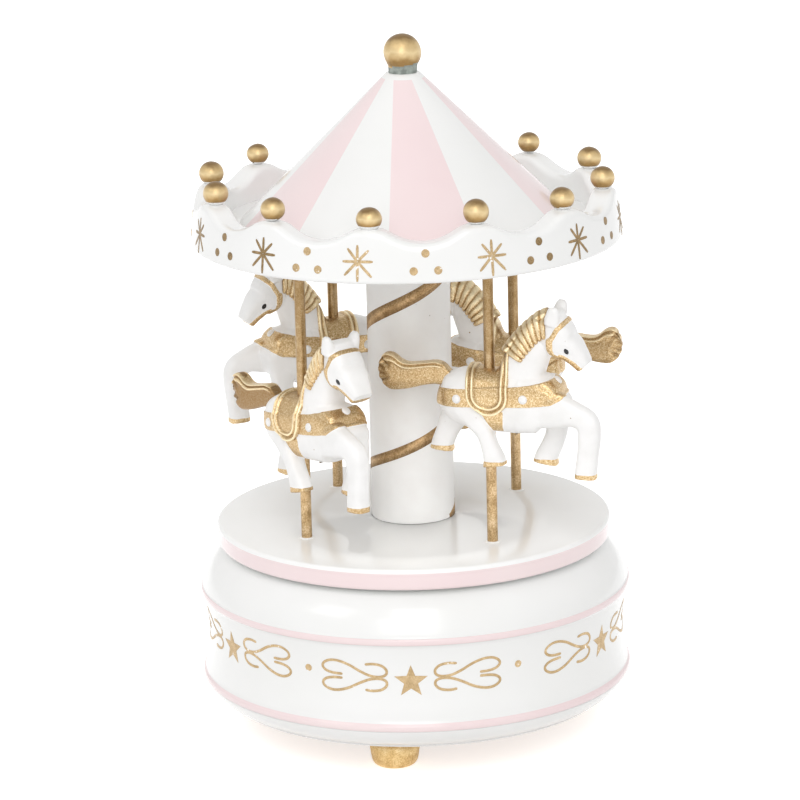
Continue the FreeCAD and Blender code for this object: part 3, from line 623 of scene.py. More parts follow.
gilding = []
for unit in range(gilding_count):
    angle = gilding_first_angle + 360 * unit / gilding_count
    turn, rise = unit_shifts[unit]
    on_star = waist_place(angle + turn, gilding_level + rise)
    gilding.append(plate(star_outline(star_radius), on_star))
    for left_or_right in (1, -1):
        for up_or_down in (1, -lower_half):
            line = [(left_or_right * x, scroll_axis + up_or_down * y) for x, y in scroll_line]
            gilding.append(stroke(smooth_line(line), scroll_width, on_star))
    halfway = waist_place(angle + 180 / gilding_count + dot_shifts[unit], gilding_level + dot_height)
    gilding.append(plate(dot_outline(dot_radius), halfway))
base_gilding = make_object("base_gilding", *merged(gilding), [gold_foil], smooth=False)
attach(base_gilding, "base")
print("base gilding:", len(gilding), "prints")

# %% [markdown]
# The turntable is a lacquered disc: white on top, where the poles are softly reflected, and pink round its
# edge. The edge has a fine turned step a third of the way down, which catches a bright line.

# %% Turntable
edge_round = 1.0
step_level = table_top - 1.7
step_half = 0.35
step_depth = 0.1
step_round = 0.12
hub_radius = 4.6
skirt = 0.6
skirt_width = 3.0
skirt_draft = 0.2
skirt_round = 0.2
white_edge = 0.9
painted_width = 0.75
under_radius = table_radius - skirt_width
table_corners = [(hub_radius, table_bottom, 0), (under_radius, table_bottom, skirt_round),
                 (under_radius, table_bottom - skirt, skirt_round),
                 (table_radius - skirt_draft, table_bottom - skirt, edge_round),
                 (table_radius - step_depth, step_level - step_half, step_round),
                 (table_radius - step_depth, step_level, step_round),
                 (table_radius, step_level + step_half, step_round), (table_radius, table_top, edge_round),
                 (hub_radius, table_top, 0)]
table_profile = rounded(table_corners)
table_paint = []
for (r, z), (after_r, after_z) in zip(table_profile, table_profile[1:] + table_profile[:1]):
    on_edge = min(r, after_r) > table_radius - painted_width and max(z, after_z) < table_top - white_edge
    table_paint.append(1 if on_edge else 0)
turntable_disc = lathe("turntable_disc", table_profile, table_paint, [lightened_table_lacquer, pink_lacquer],
                       segments=256)
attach(turntable_disc, "carousel")
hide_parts("turntable")
print("turntable:", len(turntable_disc.data.polygons), "faces")

# %% [markdown]
# Where a pole enters the turntable, the lacquer stands up round it in a small ring.

# %% Lacquer rings
ring_steps = ((1.1, -0.2), (2.0, -0.2), (1.9, 0.08), (1.6, 0.2), (1.1, 0.25))
ring_profile = [(r, table_top + rise) for r, rise in ring_steps]
for number in (1, 2, 3, 4):
    low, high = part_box("pole_%d" % number)
    ring = lathe("lacquer_ring_%d" % number, ring_profile, None, [lightened_table_lacquer], segments=32)
    ring.data.transform(Matrix.Translation(((low.x + high.x) / 2, (low.y + high.y) / 2, 0)))
    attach(ring, "carousel")
print("lacquer rings: 4")

# %% [markdown]
# The column is a turned post in satin white. A gold stripe was painted round it by hand, so its slope and
# width wander: the places it passes are given, and a smooth line is drawn through them.

# %% Column and its painted stripe
column_profile = rounded([(0.0, column_bottom, 0), (column_radius, column_bottom, 0.5),
                          (column_radius, column_top, 0.3), (0.0, column_top, 0)])
stripe_line = ((60, column_bottom + 0.2), (80, 54.9), (170, 60.6), (270, 66.9), (396, 76.7), (510, 89.0),
               (630, 102.6), (742, 113.2), (830, 121.0), (885, column_top - 0.2))
stripe_widths = (1.6, 2.5, 2.6, 2.6, 2.7, 2.8, 3.0, 3.1, 3.0, 1.8)
stripe_lift = 0.07
stripe_sink = 0.3
stripe_margin = 0.1

column_post = lathe("column_post", column_profile, None, [column_white], segments=128)
rows = []
line = np.array(smooth_line([(a * column_radius * math.pi / 180, z, w)
                             for (a, z), w in zip(stripe_line, stripe_widths)], steps=24))
ahead = np.gradient(line[:, :2], axis=0)
ahead /= np.linalg.norm(ahead, axis=1)[:, None]
stripe_corners = ((1, stripe_lift), (-1, stripe_lift), (-1, -stripe_sink), (1, -stripe_sink))
for (across, height, width), (dx, dz) in zip(line, ahead):
    row = []
    for side, lift in stripe_corners:
        edge = across - side * dz * width / 2
        level = max(height + side * dx * width / 2, column_bottom + stripe_margin)
        level = min(level, column_top - stripe_margin)
        row.append(around(column_radius + lift, math.degrees(edge / column_radius), level))
    rows.append(row)
column_stripe = make_object("column_stripe", *band(rows), [gold_stripe])
for piece, finish in ((column_post, "white_lacquer"), (column_stripe, "gold_paint_wood")):
    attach(piece, "carousel")
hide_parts("column")
print("column stripe:", len(rows), "rows")

# %% [markdown]
# The canopy's rim is a turned ring with twelve broad hollows cut in its top, then sanded until every
# edge is soft. A plain lathe can't give the wave, so each cross-section is worked out for its own
# angle: the same rounded profile, with a top that rises and falls. The wave is a circle's arc in each
# hollow, smoothed at the crests.

# %% Canopy rim
rim_inner = rim_radius - 7.5
rim_draft = 1.5
crest_first = -10.5
crest_count = 12
hollow_depth = 3.6
hollow_radius = 15.4
wave_radius = rim_radius - 3.5
wave_reach = 14
wave_soft = 1.5
rim_segments = 480
rim_round = 1.9
rim_low_round = 1.2
rim_inner_round = 0.6

angles = np.arange(rim_segments) * 360 / rim_segments
from_hollow = (angles - crest_first) % (360 / crest_count) - 180 / crest_count
arc_length = np.radians(from_hollow) * wave_radius
inside = np.sqrt(np.maximum(hollow_radius ** 2 - arc_length ** 2, 0.0))
wave = np.minimum(hollow_radius - inside, hollow_depth)
steps_away = np.arange(-wave_reach, wave_reach + 1)
kernel = np.exp(-0.5 * (steps_away * np.radians(360 / rim_segments) * wave_radius / wave_soft) ** 2)
kernel /= kernel.sum()
wave = np.convolve(np.concatenate((wave[-wave_reach:], wave, wave[:wave_reach])), kernel, "valid")
wave += hollow_depth - wave.max()
tops = rim_top - hollow_depth + wave

points = []
for angle, top in zip(angles, tops):
    outer_top = rim_radius - rim_draft * (top - rim_bottom) / (rim_top - rim_bottom)
    section = rounded([(rim_inner, rim_bottom, rim_inner_round), (rim_radius, rim_bottom, rim_low_round),
                       (outer_top, top, rim_round), (rim_inner, top, rim_round)], steps=7)
    points += [around(r, angle, z) for r, z in section]
faces = grid_faces(rim_segments, len(section), close_rows=True, flip=True)
canopy_ring = make_object("canopy_ring", points, faces, [white_lacquer])
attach(canopy_ring, "carousel")
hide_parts("canopy_rim")
print("canopy ring:", len(faces), "faces, wave %.2f mm" % (tops.max() - tops.min()))

# %% [markdown]
# Round the rim, foil stars of eight strokes stand under the crests, with three dots between them.
# They were stamped by hand, so each star sits a degree or two off its crest, and some were
# pressed harder and came out darker.

# %% Gilding of the rim
star_shifts = (-2.5, 2.5, 1.0, 1.5, -1.0, 1.5, 0.5, -1.5, 1.0, -4.5, -1.5, 0.0)
hard_stars = (2, 3, 6, 10, 11)
hard_dots = (1, 2, 6, 10)
star_height = 5.5
ray_width = 0.66
rays = ((90, 3.9), (270, 4.7), (180, 3.6), (0, 3.7), (128, 3.9), (45, 3.8), (226, 4.6), (313, 5.0))
dot_places = ((0.0, 7.3), (-2.9, 3.2), (2.9, 3.2))
rim_dot_radius = 0.98
ray_start = 0.1


def rim_place(middle_angle, level):
    def place(across, along, lift):
        height = level + along
        radius = rim_radius - rim_draft * (height - rim_bottom) / (rim_top - rim_bottom) + lift
        return around(radius, middle_angle + math.degrees(across / radius), height)
    return place


rim_prints = []
rim_foils = []
for i in range(crest_count):
    crest = crest_first + 360 / crest_count * i
    star_angle = crest + star_shifts[i]
    on_rim = rim_place(star_angle, rim_bottom + star_height)
    for turn, length in rays:
        way = np.array((math.cos(math.radians(turn)), math.sin(math.radians(turn))))
        rim_prints.append(stroke([way * t for t in np.linspace(ray_start, length, 6)], ray_width, on_rim))
        rim_foils += [int(i in hard_stars)] * len(rim_prints[-1][1])
    next_star = crest + 360 / crest_count + star_shifts[(i + 1) % crest_count]
    between = rim_place((star_angle + next_star) / 2, rim_bottom)
    for x, y in dot_places:
        rim_prints.append(plate(dot_outline(rim_dot_radius),
                                lambda u, v, lift, x=x, y=y, f=between: f(x + u, y + v, lift), rings=2))
        rim_foils += [int(i in hard_dots)] * len(rim_prints[-1][1])
rim_gilding = make_object("rim_gilding", *merged(rim_prints), [gold_foil, dark_foil], rim_foils,
                          smooth=False)
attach(rim_gilding, "carousel")
print("rim gilding:", len(rim_prints), "prints")

# %% [markdown]
# The roof is a turned cone with five pink stripes, masked with tape and sprayed, under a band of
# white round its top. Tape runs straight, and the painter's lines miss the point of the cone by a
# millimetre or two, so each edge has an angle and an offset. The mesh's columns follow these edges,
# and each face takes its own paint.

# %% Roof
roof_top_radius = 4.2
roof_wall = 3.4
roof_edge = 0.15
white_cap = 1.1
cap_line = 0.01
hollow_top = roof_top - 14.0
stripe_edges = ((-3.6, -2.0), (26.2, -0.3), (64.0, -0.5), (99.5, 0.8), (137.0, 0.6), (171.0, -0.4),
                (209.0, 0.9), (243.0, 0.2), (283.5, -0.9), (318.5, -1.1))
columns_per_stripe = 12
slope = (roof_radius - roof_top_radius) / (roof_top - roof_bottom)

heights = [roof_bottom] + list(np.linspace(roof_bottom + roof_edge, roof_top - white_cap, 40))
heights += [roof_top - white_cap + cap_line, roof_top - roof_edge]
outside = [(roof_radius - slope * (z - roof_bottom), z) for z in heights]
outside[0] = (outside[0][0] - roof_edge, roof_bottom)
outside.append((roof_top_radius - roof_edge, roof_top))
inside_wall = [(0.0, roof_top), (0.0, hollow_top),
               (roof_radius - roof_wall - slope * (hollow_top - roof_bottom), hollow_top),
               (roof_radius - roof_wall, roof_bottom)]
roof_profile = outside + inside_wall
points = []
for r, z in roof_profile:
    edges = []
    for angle, offset in stripe_edges:
        lean = math.degrees(math.asin(max(-0.9, min(0.9, offset / max(r, 3.0)))))
        edges.append(angle + lean)
    for start, end in zip(edges, edges[1:] + [edges[0] + 360]):
        step = (end - start) / columns_per_stripe
        points += [around(r, start + step * c, z) for c in range(columns_per_stripe)]
ring = columns_per_stripe * len(stripe_edges)
faces = grid_faces(len(roof_profile), ring, close_rows=True)
striped_rows = len(heights) - 3
indices = [int(c // columns_per_stripe % 2 == 0 and row < striped_rows)
           for row in range(len(roof_profile)) for c in range(ring)]
roof_cone = make_object("roof_cone", points, faces, [white_lacquer, pink_lacquer], indices)
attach(roof_cone, "carousel")
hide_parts("canopy_roof")
print("roof:", len(faces), "faces")

# %% [markdown]
# The finial is a wooden bead, dipped in gold and glued on a short neck. The dip left it slightly lumpy, the
# neck kept its grey-green undercoat, and the gold ran down further on one side, so the paint's edge slants.

# %% Finial
finial_radius = 4.7
finial_middle = finial_top - finial_radius
neck_radius = 3.65
neck_bottom = roof_top - 2.0
neck_joint = finial_middle - math.sqrt(finial_radius ** 2 - neck_radius ** 2)
neck_waist = 0.15
lump_mm = 4.5
lump_height = 0.1
lump_sink = 0.6
lump_start = neck_joint + 0.6
paint_slant = 0.5
paint_level = neck_joint + 0.1

undercoat_tones = [(0.35, "#7B827C"), (0.65, "#A3ABA4")]
undercoat = mottled("grey_green_undercoat_on_wood", undercoat_tones, size=1.4, detail=3.0, gloss=0.55)[0]

bead_low = -math.asin(math.sqrt(1 - (neck_radius / finial_radius) ** 2))
finial_profile = [(0.0, neck_bottom), (neck_radius, neck_bottom)]
for t in np.linspace(0.1, 1, 8):
    waisted = neck_radius - neck_waist * math.sin(math.pi * t)
    finial_profile.append((waisted, neck_bottom + (neck_joint - neck_bottom) * t))
for t in np.linspace(bead_low, math.pi / 2, 30)[1:]:
    finial_profile.append((finial_radius * math.cos(t), finial_middle + finial_radius * math.sin(t)))
finial_bead = lathe("finial_bead", finial_profile, None, [gold_with_painted_light, undercoat], segments=72)
bead_middle = Vector((0, 0, finial_middle))
for vertex in finial_bead.data.vertices:
    at = vertex.co / MM
    if at.z > lump_start:
        out = at - bead_middle
        lump = noise.noise(at / lump_mm) * lump_height - lump_height * lump_sink
        vertex.co = (bead_middle + out.normalized() * (out.length + lump)) * MM
for face in finial_bead.data.polygons:
    at = face.center / MM
    face.material_index = 1 if at.z < paint_level + paint_slant * at.x / neck_radius else 0
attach(finial_bead, "carousel")
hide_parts("finial_top")
print("finial: neck joint at %.2f mm" % neck_joint)

# %% [markdown]
# The twelve balls on the crests are dipped like the finial. No two are alike: some were sanded smaller, some
# were pressed deeper into their holes, and each carries a rim of white lacquer where it meets the crest.

# %% Rim balls
ball_shares = ((1.0, 0.84), (1.0, 1.0), (0.96, 0.89), (0.97, 0.92), (0.98, 0.9), (0.9, 0.9),
               (0.95, 0.92), (0.95, 0.92), (0.9, 0.87), (1.0, 0.92), (1.0, 0.94), (0.95, 0.95))
ball_rows = 22
ball_columns = 36
ball_lump = 0.12
lump_scale = 1.3
ball_end = 1.52
lacquer_edge = 0.45
for number, (wide, tall) in enumerate(ball_shares, 1):
    low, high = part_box("rim_ball_%02d" % number)
    middle = (low + high) / 2 / MM
    radius = (high.x - low.x) / MM / 2 * wide
    top = rim_top + (high.z / MM - rim_top) * tall
    half = radius * (1 + tall) / 2
    points = []
    for turn in np.linspace(-ball_end, ball_end, ball_rows):
        for c in range(ball_columns):
            way = around(math.cos(turn), 360 * c / ball_columns, math.sin(turn))
            lump = noise.noise(way * lump_scale + Vector((number, 0, 0)))
            swell = 1 - ball_lump / radius * (0.5 + 0.5 * lump)
            points.append((middle.x + way.x * radius * swell, middle.y + way.y * radius * swell,
                           top - half + way.z * half * swell))
    faces = [tuple(reversed(range(ball_columns)))] + grid_faces(ball_rows, ball_columns)
    faces.append(tuple(range(len(points) - ball_columns, len(points))))
    paints = [1 if points[face[0]][2] < rim_top + lacquer_edge else 0 for face in faces]
    ball = make_object("dipped_ball_%02d" % number, points, faces, [gold_with_painted_light, white_lacquer], paints)
    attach(ball, "carousel")
    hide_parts("rim_ball_%02d" % number)
print("rim balls:", len(ball_shares))

# %% [markdown]
# The horses are one casting in polyresin, painted by hand, and used four times. A sculptor would block out
# body, neck, head and legs, blend them, and then lay saddle, mane and tail on top, and the code does the
# same. Each part is a loft through rounded sections. The white body is fused by a voxel remesh and
# smoothed like modelling wax. Lengths are in millimetres in the horse's own frame: ahead, left and up from
# the hole for the pole in its saddle.

# %% Lofts for the casting
section_points = 40


def loft(stations, power):
    """Closed mesh through stations of (ahead, left, up, half height, half width).

    The sections are ellipses for a power of 2, and more like rounded boxes for a higher one.
    """
    middles = np.array([s[:3] for s in stations], float)
    ways = np.gradient(middles, axis=0)
    points = []
    for middle, way, station in zip(middles, ways, stations):
        way = way / np.linalg.norm(way)
        over = np.cross(way, (0, 1, 0))
        over = -over / np.linalg.norm(over)
        for i in range(section_points):
            turn = 2 * math.pi * i / section_points
            c, s = math.cos(turn), math.sin(turn)
            rise = math.copysign(abs(c) ** (2 / power), c) * station[3]
            side = math.copysign(abs(s) ** (2 / power), s) * station[4]
            points.append(middle + over * rise + np.array((0, side, 0)))
    last = (len(stations) - 1) * section_points
    ends = [tuple(reversed(range(section_points))), tuple(range(last, last + section_points))]
    return points, grid_faces(len(stations), section_points) + ends


def refined(stations, steps=5):
    return [tuple(s) for s in smooth_line(stations, steps)]


body = [(-12.6, 0, -6.2, 1.6, 1.6), (-11.6, 0, -6.4, 3.9, 3.4), (-9.4, 0, -6.5, 5.9, 5.0),
        (-5, 0, -6.9, 7.4, 6.0), (2, 0, -7.6, 7.6, 6.1), (9, 0, -7.6, 7.8, 6.1), (13.5, 0, -7.8, 7.1, 5.9),
        (16.4, 0, -8.9, 4.6, 5.3)]
chest = [(8, 0, -7.6, 7.2, 5.9), (13.5, 0, -7.9, 7.0, 6.0), (16.4, 0, -8.9, 4.7, 5.8),
         (18.6, 0, -9.4, 3.4, 5.3), (19.4, 0, -9.6, 2.4, 4.4)]
neck = [(6.8, 0, -5.5, 6.6, 5.2), (8.5, 0, 0, 5.5, 4.4), (10.6, 0, 5, 4.9, 3.9), (12.7, 0, 9.5, 4.3, 3.4),
        (14.4, 0, 12.6, 3.2, 2.8)]
head_start = np.array((14.5, 0, 12.8))
head_way = np.array((0.668, 0, -0.744))
forehead_way = np.array((0.744, 0, 0.668))
head_sections = [(-0.8, -0.2, 2.2, 2.8), (1.2, 0.1, 3.6, 3.9), (3.4, 0.2, 4.1, 4.4), (5.0, -0.1, 4.1, 4.6),
                 (6.5, -0.3, 4.0, 4.6), (7.7, -0.1, 3.6, 4.4), (9.0, 0.25, 3.05, 4.1),
                 (10.5, 0.25, 2.65, 3.7), (12.0, 0.2, 2.3, 3.3), (13.6, 0.0, 1.95, 2.9),
                 (14.4, -0.1, 1.75, 2.7)]
head = [(*(head_start + head_way * t + forehead_way * s), half, width)
        for t, s, half, width in head_sections]
poll = [(16.0, 0, 12.0, 2.4, 4.0), (16.8, 0, 14.2, 2.0, 3.9), (17.1, 0, 15.4, 1.4, 3.4)]
ears = [[(16.4, side * 3.3, 12.4, 2.0, 1.7), (17.0, side * 3.8, 14.6, 1.75, 1.35),
         (17.3, side * 4.2, 16.3, 1.35, 0.95), (17.4, side * 4.3, 17.1, 0.75, 0.5)] for side in (1, -1)]
right_fore = [(14, -3.4, -8.6, 4.6, 2.6), (18.5, -3.9, -8.7, 4.1, 2.6), (22.6, -4.1, -9.4, 3.0, 2.5),
              (25.4, -4.2, -11.2, 2.9, 2.4), (25.9, -4.2, -14.5, 2.75, 2.35), (25.5, -4.2, -19, 2.6, 2.3),
              (25.0, -4.2, -23, 2.65, 2.35), (24.9, -4.2, -25, 2.75, 2.4)]
left_fore = [(15.6, 3.2, -9.5, 3.9, 2.5), (15.9, 3.6, -14.5, 2.7, 2.4), (14.9, 3.6, -18.4, 2.6, 2.3),
             (13.3, 3.6, -21.8, 2.8, 2.3), (12.9, 3.6, -23.8, 3.2, 2.4)]
right_hind = [(-5.0, -3, -7.5, 4.9, 2.9), (-2.2, -3.7, -12, 2.8, 2.6), (-0.3, -4, -14.8, 2.1, 2.4),
              (0.9, -4, -18.2, 2.1, 2.35), (1.9, -4, -21.2, 2.6, 2.35), (2.2, -4, -23, 3.0, 2.4)]
left_hind = [(-7.4, 3, -7.5, 5.0, 2.9), (-9.6, 3.6, -12, 3.7, 2.6), (-11.8, 3.8, -16.6, 2.8, 2.4),
             (-13.1, 3.8, -19.8, 2.7, 2.35), (-13.4, 3.8, -21.7, 3.0, 2.4)]
legs = (right_fore, left_fore, right_hind, left_hind)

blocked_out = [(body, 2.6), (chest, 4.0), (neck, 2.6), (head, 3.2), (poll, 3.0)]
blocked_out += [(ear, 2.4) for ear in ears] + [(leg, 2.9) for leg in legs]
white_parts = [loft(refined(stations), power) for stations, power in blocked_out]
print("casting:", len(white_parts), "lofts")

# %% [markdown]
# A voxel remesh fuses the lofts into one skin. It is run in millimetres on a scratch object, with a few
# rounds of smoothing, and the result is read back as plain points, so the next steps can work on it.

# %% Fusing the casting
body_voxel = 0.22
smoothing_rounds = 10


def fused(parts, voxel, rounds):
    points, faces = merged(parts)
    mesh = bpy.data.meshes.new("scratch")
    mesh.from_pydata([Vector(p) for p in points], [], faces)
    scratch = bpy.data.objects.new("scratch", mesh)
    bpy.context.scene.collection.objects.link(scratch)
    remesh = scratch.modifiers.new("fuse", "REMESH")
    remesh.mode = "VOXEL"
    remesh.voxel_size = voxel
    soften = scratch.modifiers.new("soften", "SMOOTH")
    soften.iterations = rounds
    soften.factor = 0.5
    shape = bpy.data.meshes.new_from_object(scratch.evaluated_get(bpy.context.evaluated_depsgraph_get()))
    places = np.array([v.co for v in shape.vertices])
    normals = np.array([v.normal for v in shape.vertices])
    skin_faces = [tuple(f.vertices) for f in shape.polygons]
    for item in (shape, mesh):
        bpy.data.meshes.remove(item)
    return places, skin_faces, normals


body_points, body_faces, body_normals = fused(white_parts, body_voxel, smoothing_rounds)
print("body skin:", len(body_faces), "faces")

# %% [markdown]
# The painted straps are areas of the skin. Each is written as a distance in millimetres: above zero inside
# the paint, below zero outside. The skin is lifted a little where a strap lies, because the casting has them
# in relief, and later the shader reads the same distance to change from white to gold exactly at its edge.

# %% Straps as distances
strap_lift = 0.24
panel_lift = 0.32
panel_half = 5.3
panel_start = 13.9
hoof_paint = 1.3
hoof_reach = 4.5
hoof_zone = -20
nowhere = 1e9
band_top = ((-14, -4.4), (-5.4, -3.9), (5.7, -3.1), (10.2, -2.5), (14.4, -1.7), (20, -1.0))
band_bottom = ((-14, -8.7), (-5.4, -8.4), (5.7, -7.9), (11.7, -7.6), (16.7, -6.9), (18.7, -5.8), (20, -5.0))
girth_levels = (-14.2, -9.0)
girth_rear = ((-14.2, 1.9), (-9.0, -1.0))
girth_front = ((-14.2, 4.5), (-9.0, 4.9))
browband_line = ((16.3, 8.4), (18.3, 11.8), (20.4, 13.6))
browband_half = 0.62
cheek_line = ((16.3, 8.6), (16.2, 6.4), (16.8, 4.9), (18.4, 4.2))
cheek_half = 0.85
cheek_inside = 3.0
jaw_strap = 1.6
jaw_reach = (8.2, 15.4)


def line_at(table, value):
    return np.interp(value, [p[0] for p in table], [p[1] for p in table])


def side_distance(points, line):
    """Distance to a line drawn on the side view, whatever the distance from the middle."""
    flat = points[:, [0, 2]]
    best = np.full(len(points), nowhere)
    for start, end in zip(np.array(line[:-1]), np.array(line[1:])):
        run = end - start
        share = np.clip((flat - start) @ run / (run @ run), 0, 1)
        best = np.minimum(best, np.linalg.norm(flat - start - share[:, None] * run, axis=1))
    return best


def straps(points):
    """Distances into the strap paint, and into the raised panel on the breast alone."""
    a, b, h = points.T
    out = np.abs(b)
    band_area = np.minimum(line_at(band_top, a) - h, h - line_at(band_bottom, a))
    panel = np.minimum.reduce((band_area, panel_half - out, a - panel_start))
    girth = np.minimum.reduce((a - line_at(girth_rear, h), line_at(girth_front, h) - a,
                               girth_levels[1] - h, h - girth_levels[0]))
    browband = browband_half - side_distance(points, browband_line)
    cheek = np.minimum(cheek_half - side_distance(points, cheek_line), out - cheek_inside)
    along = (points - head_start) @ head_way
    over = (points - head_start) @ forehead_way
    jaw_edge = np.interp(along, [s[0] for s in head_sections], [s[1] - s[2] for s in head_sections])
    jaw = np.minimum.reduce((jaw_strap - np.abs(over - jaw_edge),
                             along - jaw_reach[0], jaw_reach[1] - along))
    hooves = np.full(len(points), -nowhere)
    for leg in legs:
        end = np.array(leg[-1][:3])
        near = hoof_reach - np.linalg.norm((points - end)[:, :2], axis=1)
        hooves = np.maximum(hooves, np.minimum(end[2] + hoof_paint - h, near))
    return np.maximum.reduce((band_area, girth, browband, cheek, jaw, hooves)), panel


def step_up(distance, soft=0.25):
    return np.clip(distance / soft * 0.5 + 0.5, 0, 1)


body_gold, panel = straps(body_points)
hoof_free = body_points[:, 2] > hoof_zone
lift = strap_lift * step_up(body_gold) * hoof_free + panel_lift * step_up(panel)
body_points = body_points + body_normals * lift[:, None]
skin = BVHTree.FromPolygons([Vector(p) for p in body_points], body_faces)
print("straps: %d of %d points" % ((body_gold > 0).sum(), len(body_gold)))

# %% [markdown]
# The saddle is a blanket of points over the back, found by rays from the middle of the body. Its outline
# is a pair of U-shaped flaps joined over the back, and its height follows the distance from that
# outline: a double raised rim, a groove between, and a flat field. Outside the outline it dives under
# the skin, where it can't be seen. Beside every height goes a number for painted light: 1 for painted
# shade in the bottom of a groove, -1 for a painted highlight on top of a ridge.

# %% Saddle
saddle_half = 5.4
saddle_middle = 0.25
saddle_margins = (0.4, 1.5)
saddle_turn = 134
flap_lean = 0.07
flap_straight = 9.4
saddle_axis = -7.0
saddle_round = 7.3
cast_from = 14
rim_places = (0.5, 1.75)
rim_half = 0.46
rim_height = 0.5
furrow_places = (sum(rim_places) / 2, 2.4)
furrow_half = 0.3
furrow_shade = 0.7
field_height = 0.3
field_start = 0.1
saddle_tuck = -0.5
seat_rise = 0.35
seat_length = 6.5
seat_edge = 0.8


def humps(value, places, width):
    """Smooth humps of height 1 at the given places."""
    return sum(math.exp(-((value - place) / width) ** 2) for place in places)


def saddle_relief(inside):
    """Height of the blanket that far inside its outline, and its painted-light number: shade in a groove,
    highlight on a ridge.
    """
    ridge = max(max(0.0, 1 - ((inside - place) / rim_half) ** 2) ** 0.5 for place in rim_places)
    ground = field_height * float(step_up(inside - field_start))
    # Painted shade in the furrows, and a painted highlight on the rims.
    paint = furrow_shade * humps(inside, furrow_places, furrow_half) - ridge ** 3
    return (ground + rim_height * ridge if inside > 0 else saddle_tuck), paint


columns = np.linspace(-saddle_half - saddle_margins[0], saddle_half + saddle_margins[1], 84)
rounds = np.radians(np.linspace(-saddle_turn, saddle_turn, 261))
saddle_points = []
saddle_painted_light = []
for turn in rounds:
    way = Vector((0, math.sin(turn), math.cos(turn)))
    length = abs(turn) * saddle_round
    past = max(0.0, length - flap_straight)
    for a in columns:
        start = Vector((a, 0, saddle_axis))
        hit = skin.ray_cast(start + way * cast_from, -way)[0]
        inside = saddle_half - math.hypot(a - saddle_middle - flap_lean * length, past)
        height, paint = saddle_relief(inside)
        if inside > 0:
            seat = max(0.0, 1 - length / seat_length) * min(1.0, inside / seat_edge)
            height += seat_rise * seat * (abs(a - saddle_middle) / saddle_half) ** 3
        saddle_points.append(hit + way * height)
        saddle_painted_light.append(paint)
saddle = (saddle_points, grid_faces(len(rounds), len(columns), close_columns=False))
print("saddle:", len(saddle_points), "points")

# %% [markdown]
# The mane is a row of fingers pressed into wax, on each side of the neck. Every finger starts on the crest
# and runs down to its own round tip, and rays from the side find how far out the neck is on the way. Both
# sides meet on the crest, and their other borders dive under the skin.

# %% Mane
lock_count = 8
crest = ((14.9, 15.9), (12.4, 14.8), (9.4, 12.4), (6.9, 9.8), (4.8, 7.2), (3.3, 5.0))
tips = ((15.4, 8.8), (14.2, 8.2), (13.0, 7.2), (11.9, 5.9), (10.8, 4.6), (9.3, 2.7))
lock_height = 0.62
lock_ground = 0.2
lock_start = 0.3
lock_end = 0.8
lock_sag = 0.35
tip_round = 0.88
crest_half = 1.7
crest_round = 1.3
mane_over = 1.05
mane_tuck = -0.7
highlight_fade = 1.6
side_cast = 30
columns_per_lock = 14
mane_rows = 46


def line_points(line, shares):
    line = np.array(smooth_line(line, 8))
    length = np.concatenate(([0], np.cumsum(np.linalg.norm(np.diff(line, axis=0), axis=1))))
    along = np.clip(shares, 0, 1) * length[-1]
    return np.stack([np.interp(along, length, line[:, k]) for k in (0, 1)], 1)


def from_side(a, h, side):
    """Where a ray from that side, at that place on the side view, meets the skin, and the way out there."""
    hit, out, _, _ = skin.ray_cast(Vector((a, side * side_cast, h)), Vector((0, -side, 0)))
    return hit, out


def neck_side(a, h):
    hit = from_side(a, h, 1)[0]
    return hit.y if hit is not None else 0.0


mane_shares = np.linspace(-0.012, 1.012, lock_count * columns_per_lock + 1)
mane_shares[[0, -1]] = (0, 1)
roots = line_points(crest, mane_shares)
lock_tips = line_points(tips, mane_shares)
half_mane = []
mane_painted_light = []
for number, share in enumerate(mane_shares):
    place_in_lock = 2 * (np.clip(share, 0, 0.9999) * lock_count % 1) - 1
    dome = math.sqrt(max(0.0, 1 - abs(place_in_lock) ** 2.4))
    run = lock_tips[number] - roots[number]
    long = np.linalg.norm(run)
    root = roots[number] - run / long * lock_start * dome
    border = number in (0, len(mane_shares) - 1)
    for down in np.linspace(0, mane_over, mane_rows):
        a, h = root + run * down
        h += lock_sag * math.sin(math.pi * min(1.0, down))
        to_tip = (1 - down) * long - tip_round * (1 - dome)
        base = max(neck_side(a, h), crest_half * math.sqrt(min(1.0, down * long / crest_round)))
        height = mane_tuck
        if to_tip > 0:
            height = (lock_ground + lock_height * dome) * math.sqrt(min(1.0, to_tip / lock_end))
            height *= min(1.0, down * long)
        half_mane.append((a, 0.0 if border or down == 0 else base + height, h))
        # Painted light on the mane: painted shade between the fingers, and a painted highlight along their
        # tops that fades out at the tips.
        mane_painted_light.append((1 - dome) ** 1.5 - dome ** 3 * min(1.0, highlight_fade * (1 - down)))
mane_faces = grid_faces(len(mane_shares), mane_rows, close_columns=False)
mane_left = (half_mane, mane_faces)
mane_right = ([(a, -b, h) for a, b, h in half_mane], [tuple(reversed(face)) for face in mane_faces])
print("mane:", 2 * lock_count, "fingers")

# %% [markdown]
# The tail is a flat plume: a loft with two beads along its upper edge, grooves that fan out to its end, and
# a notch in the end where each groove comes out.

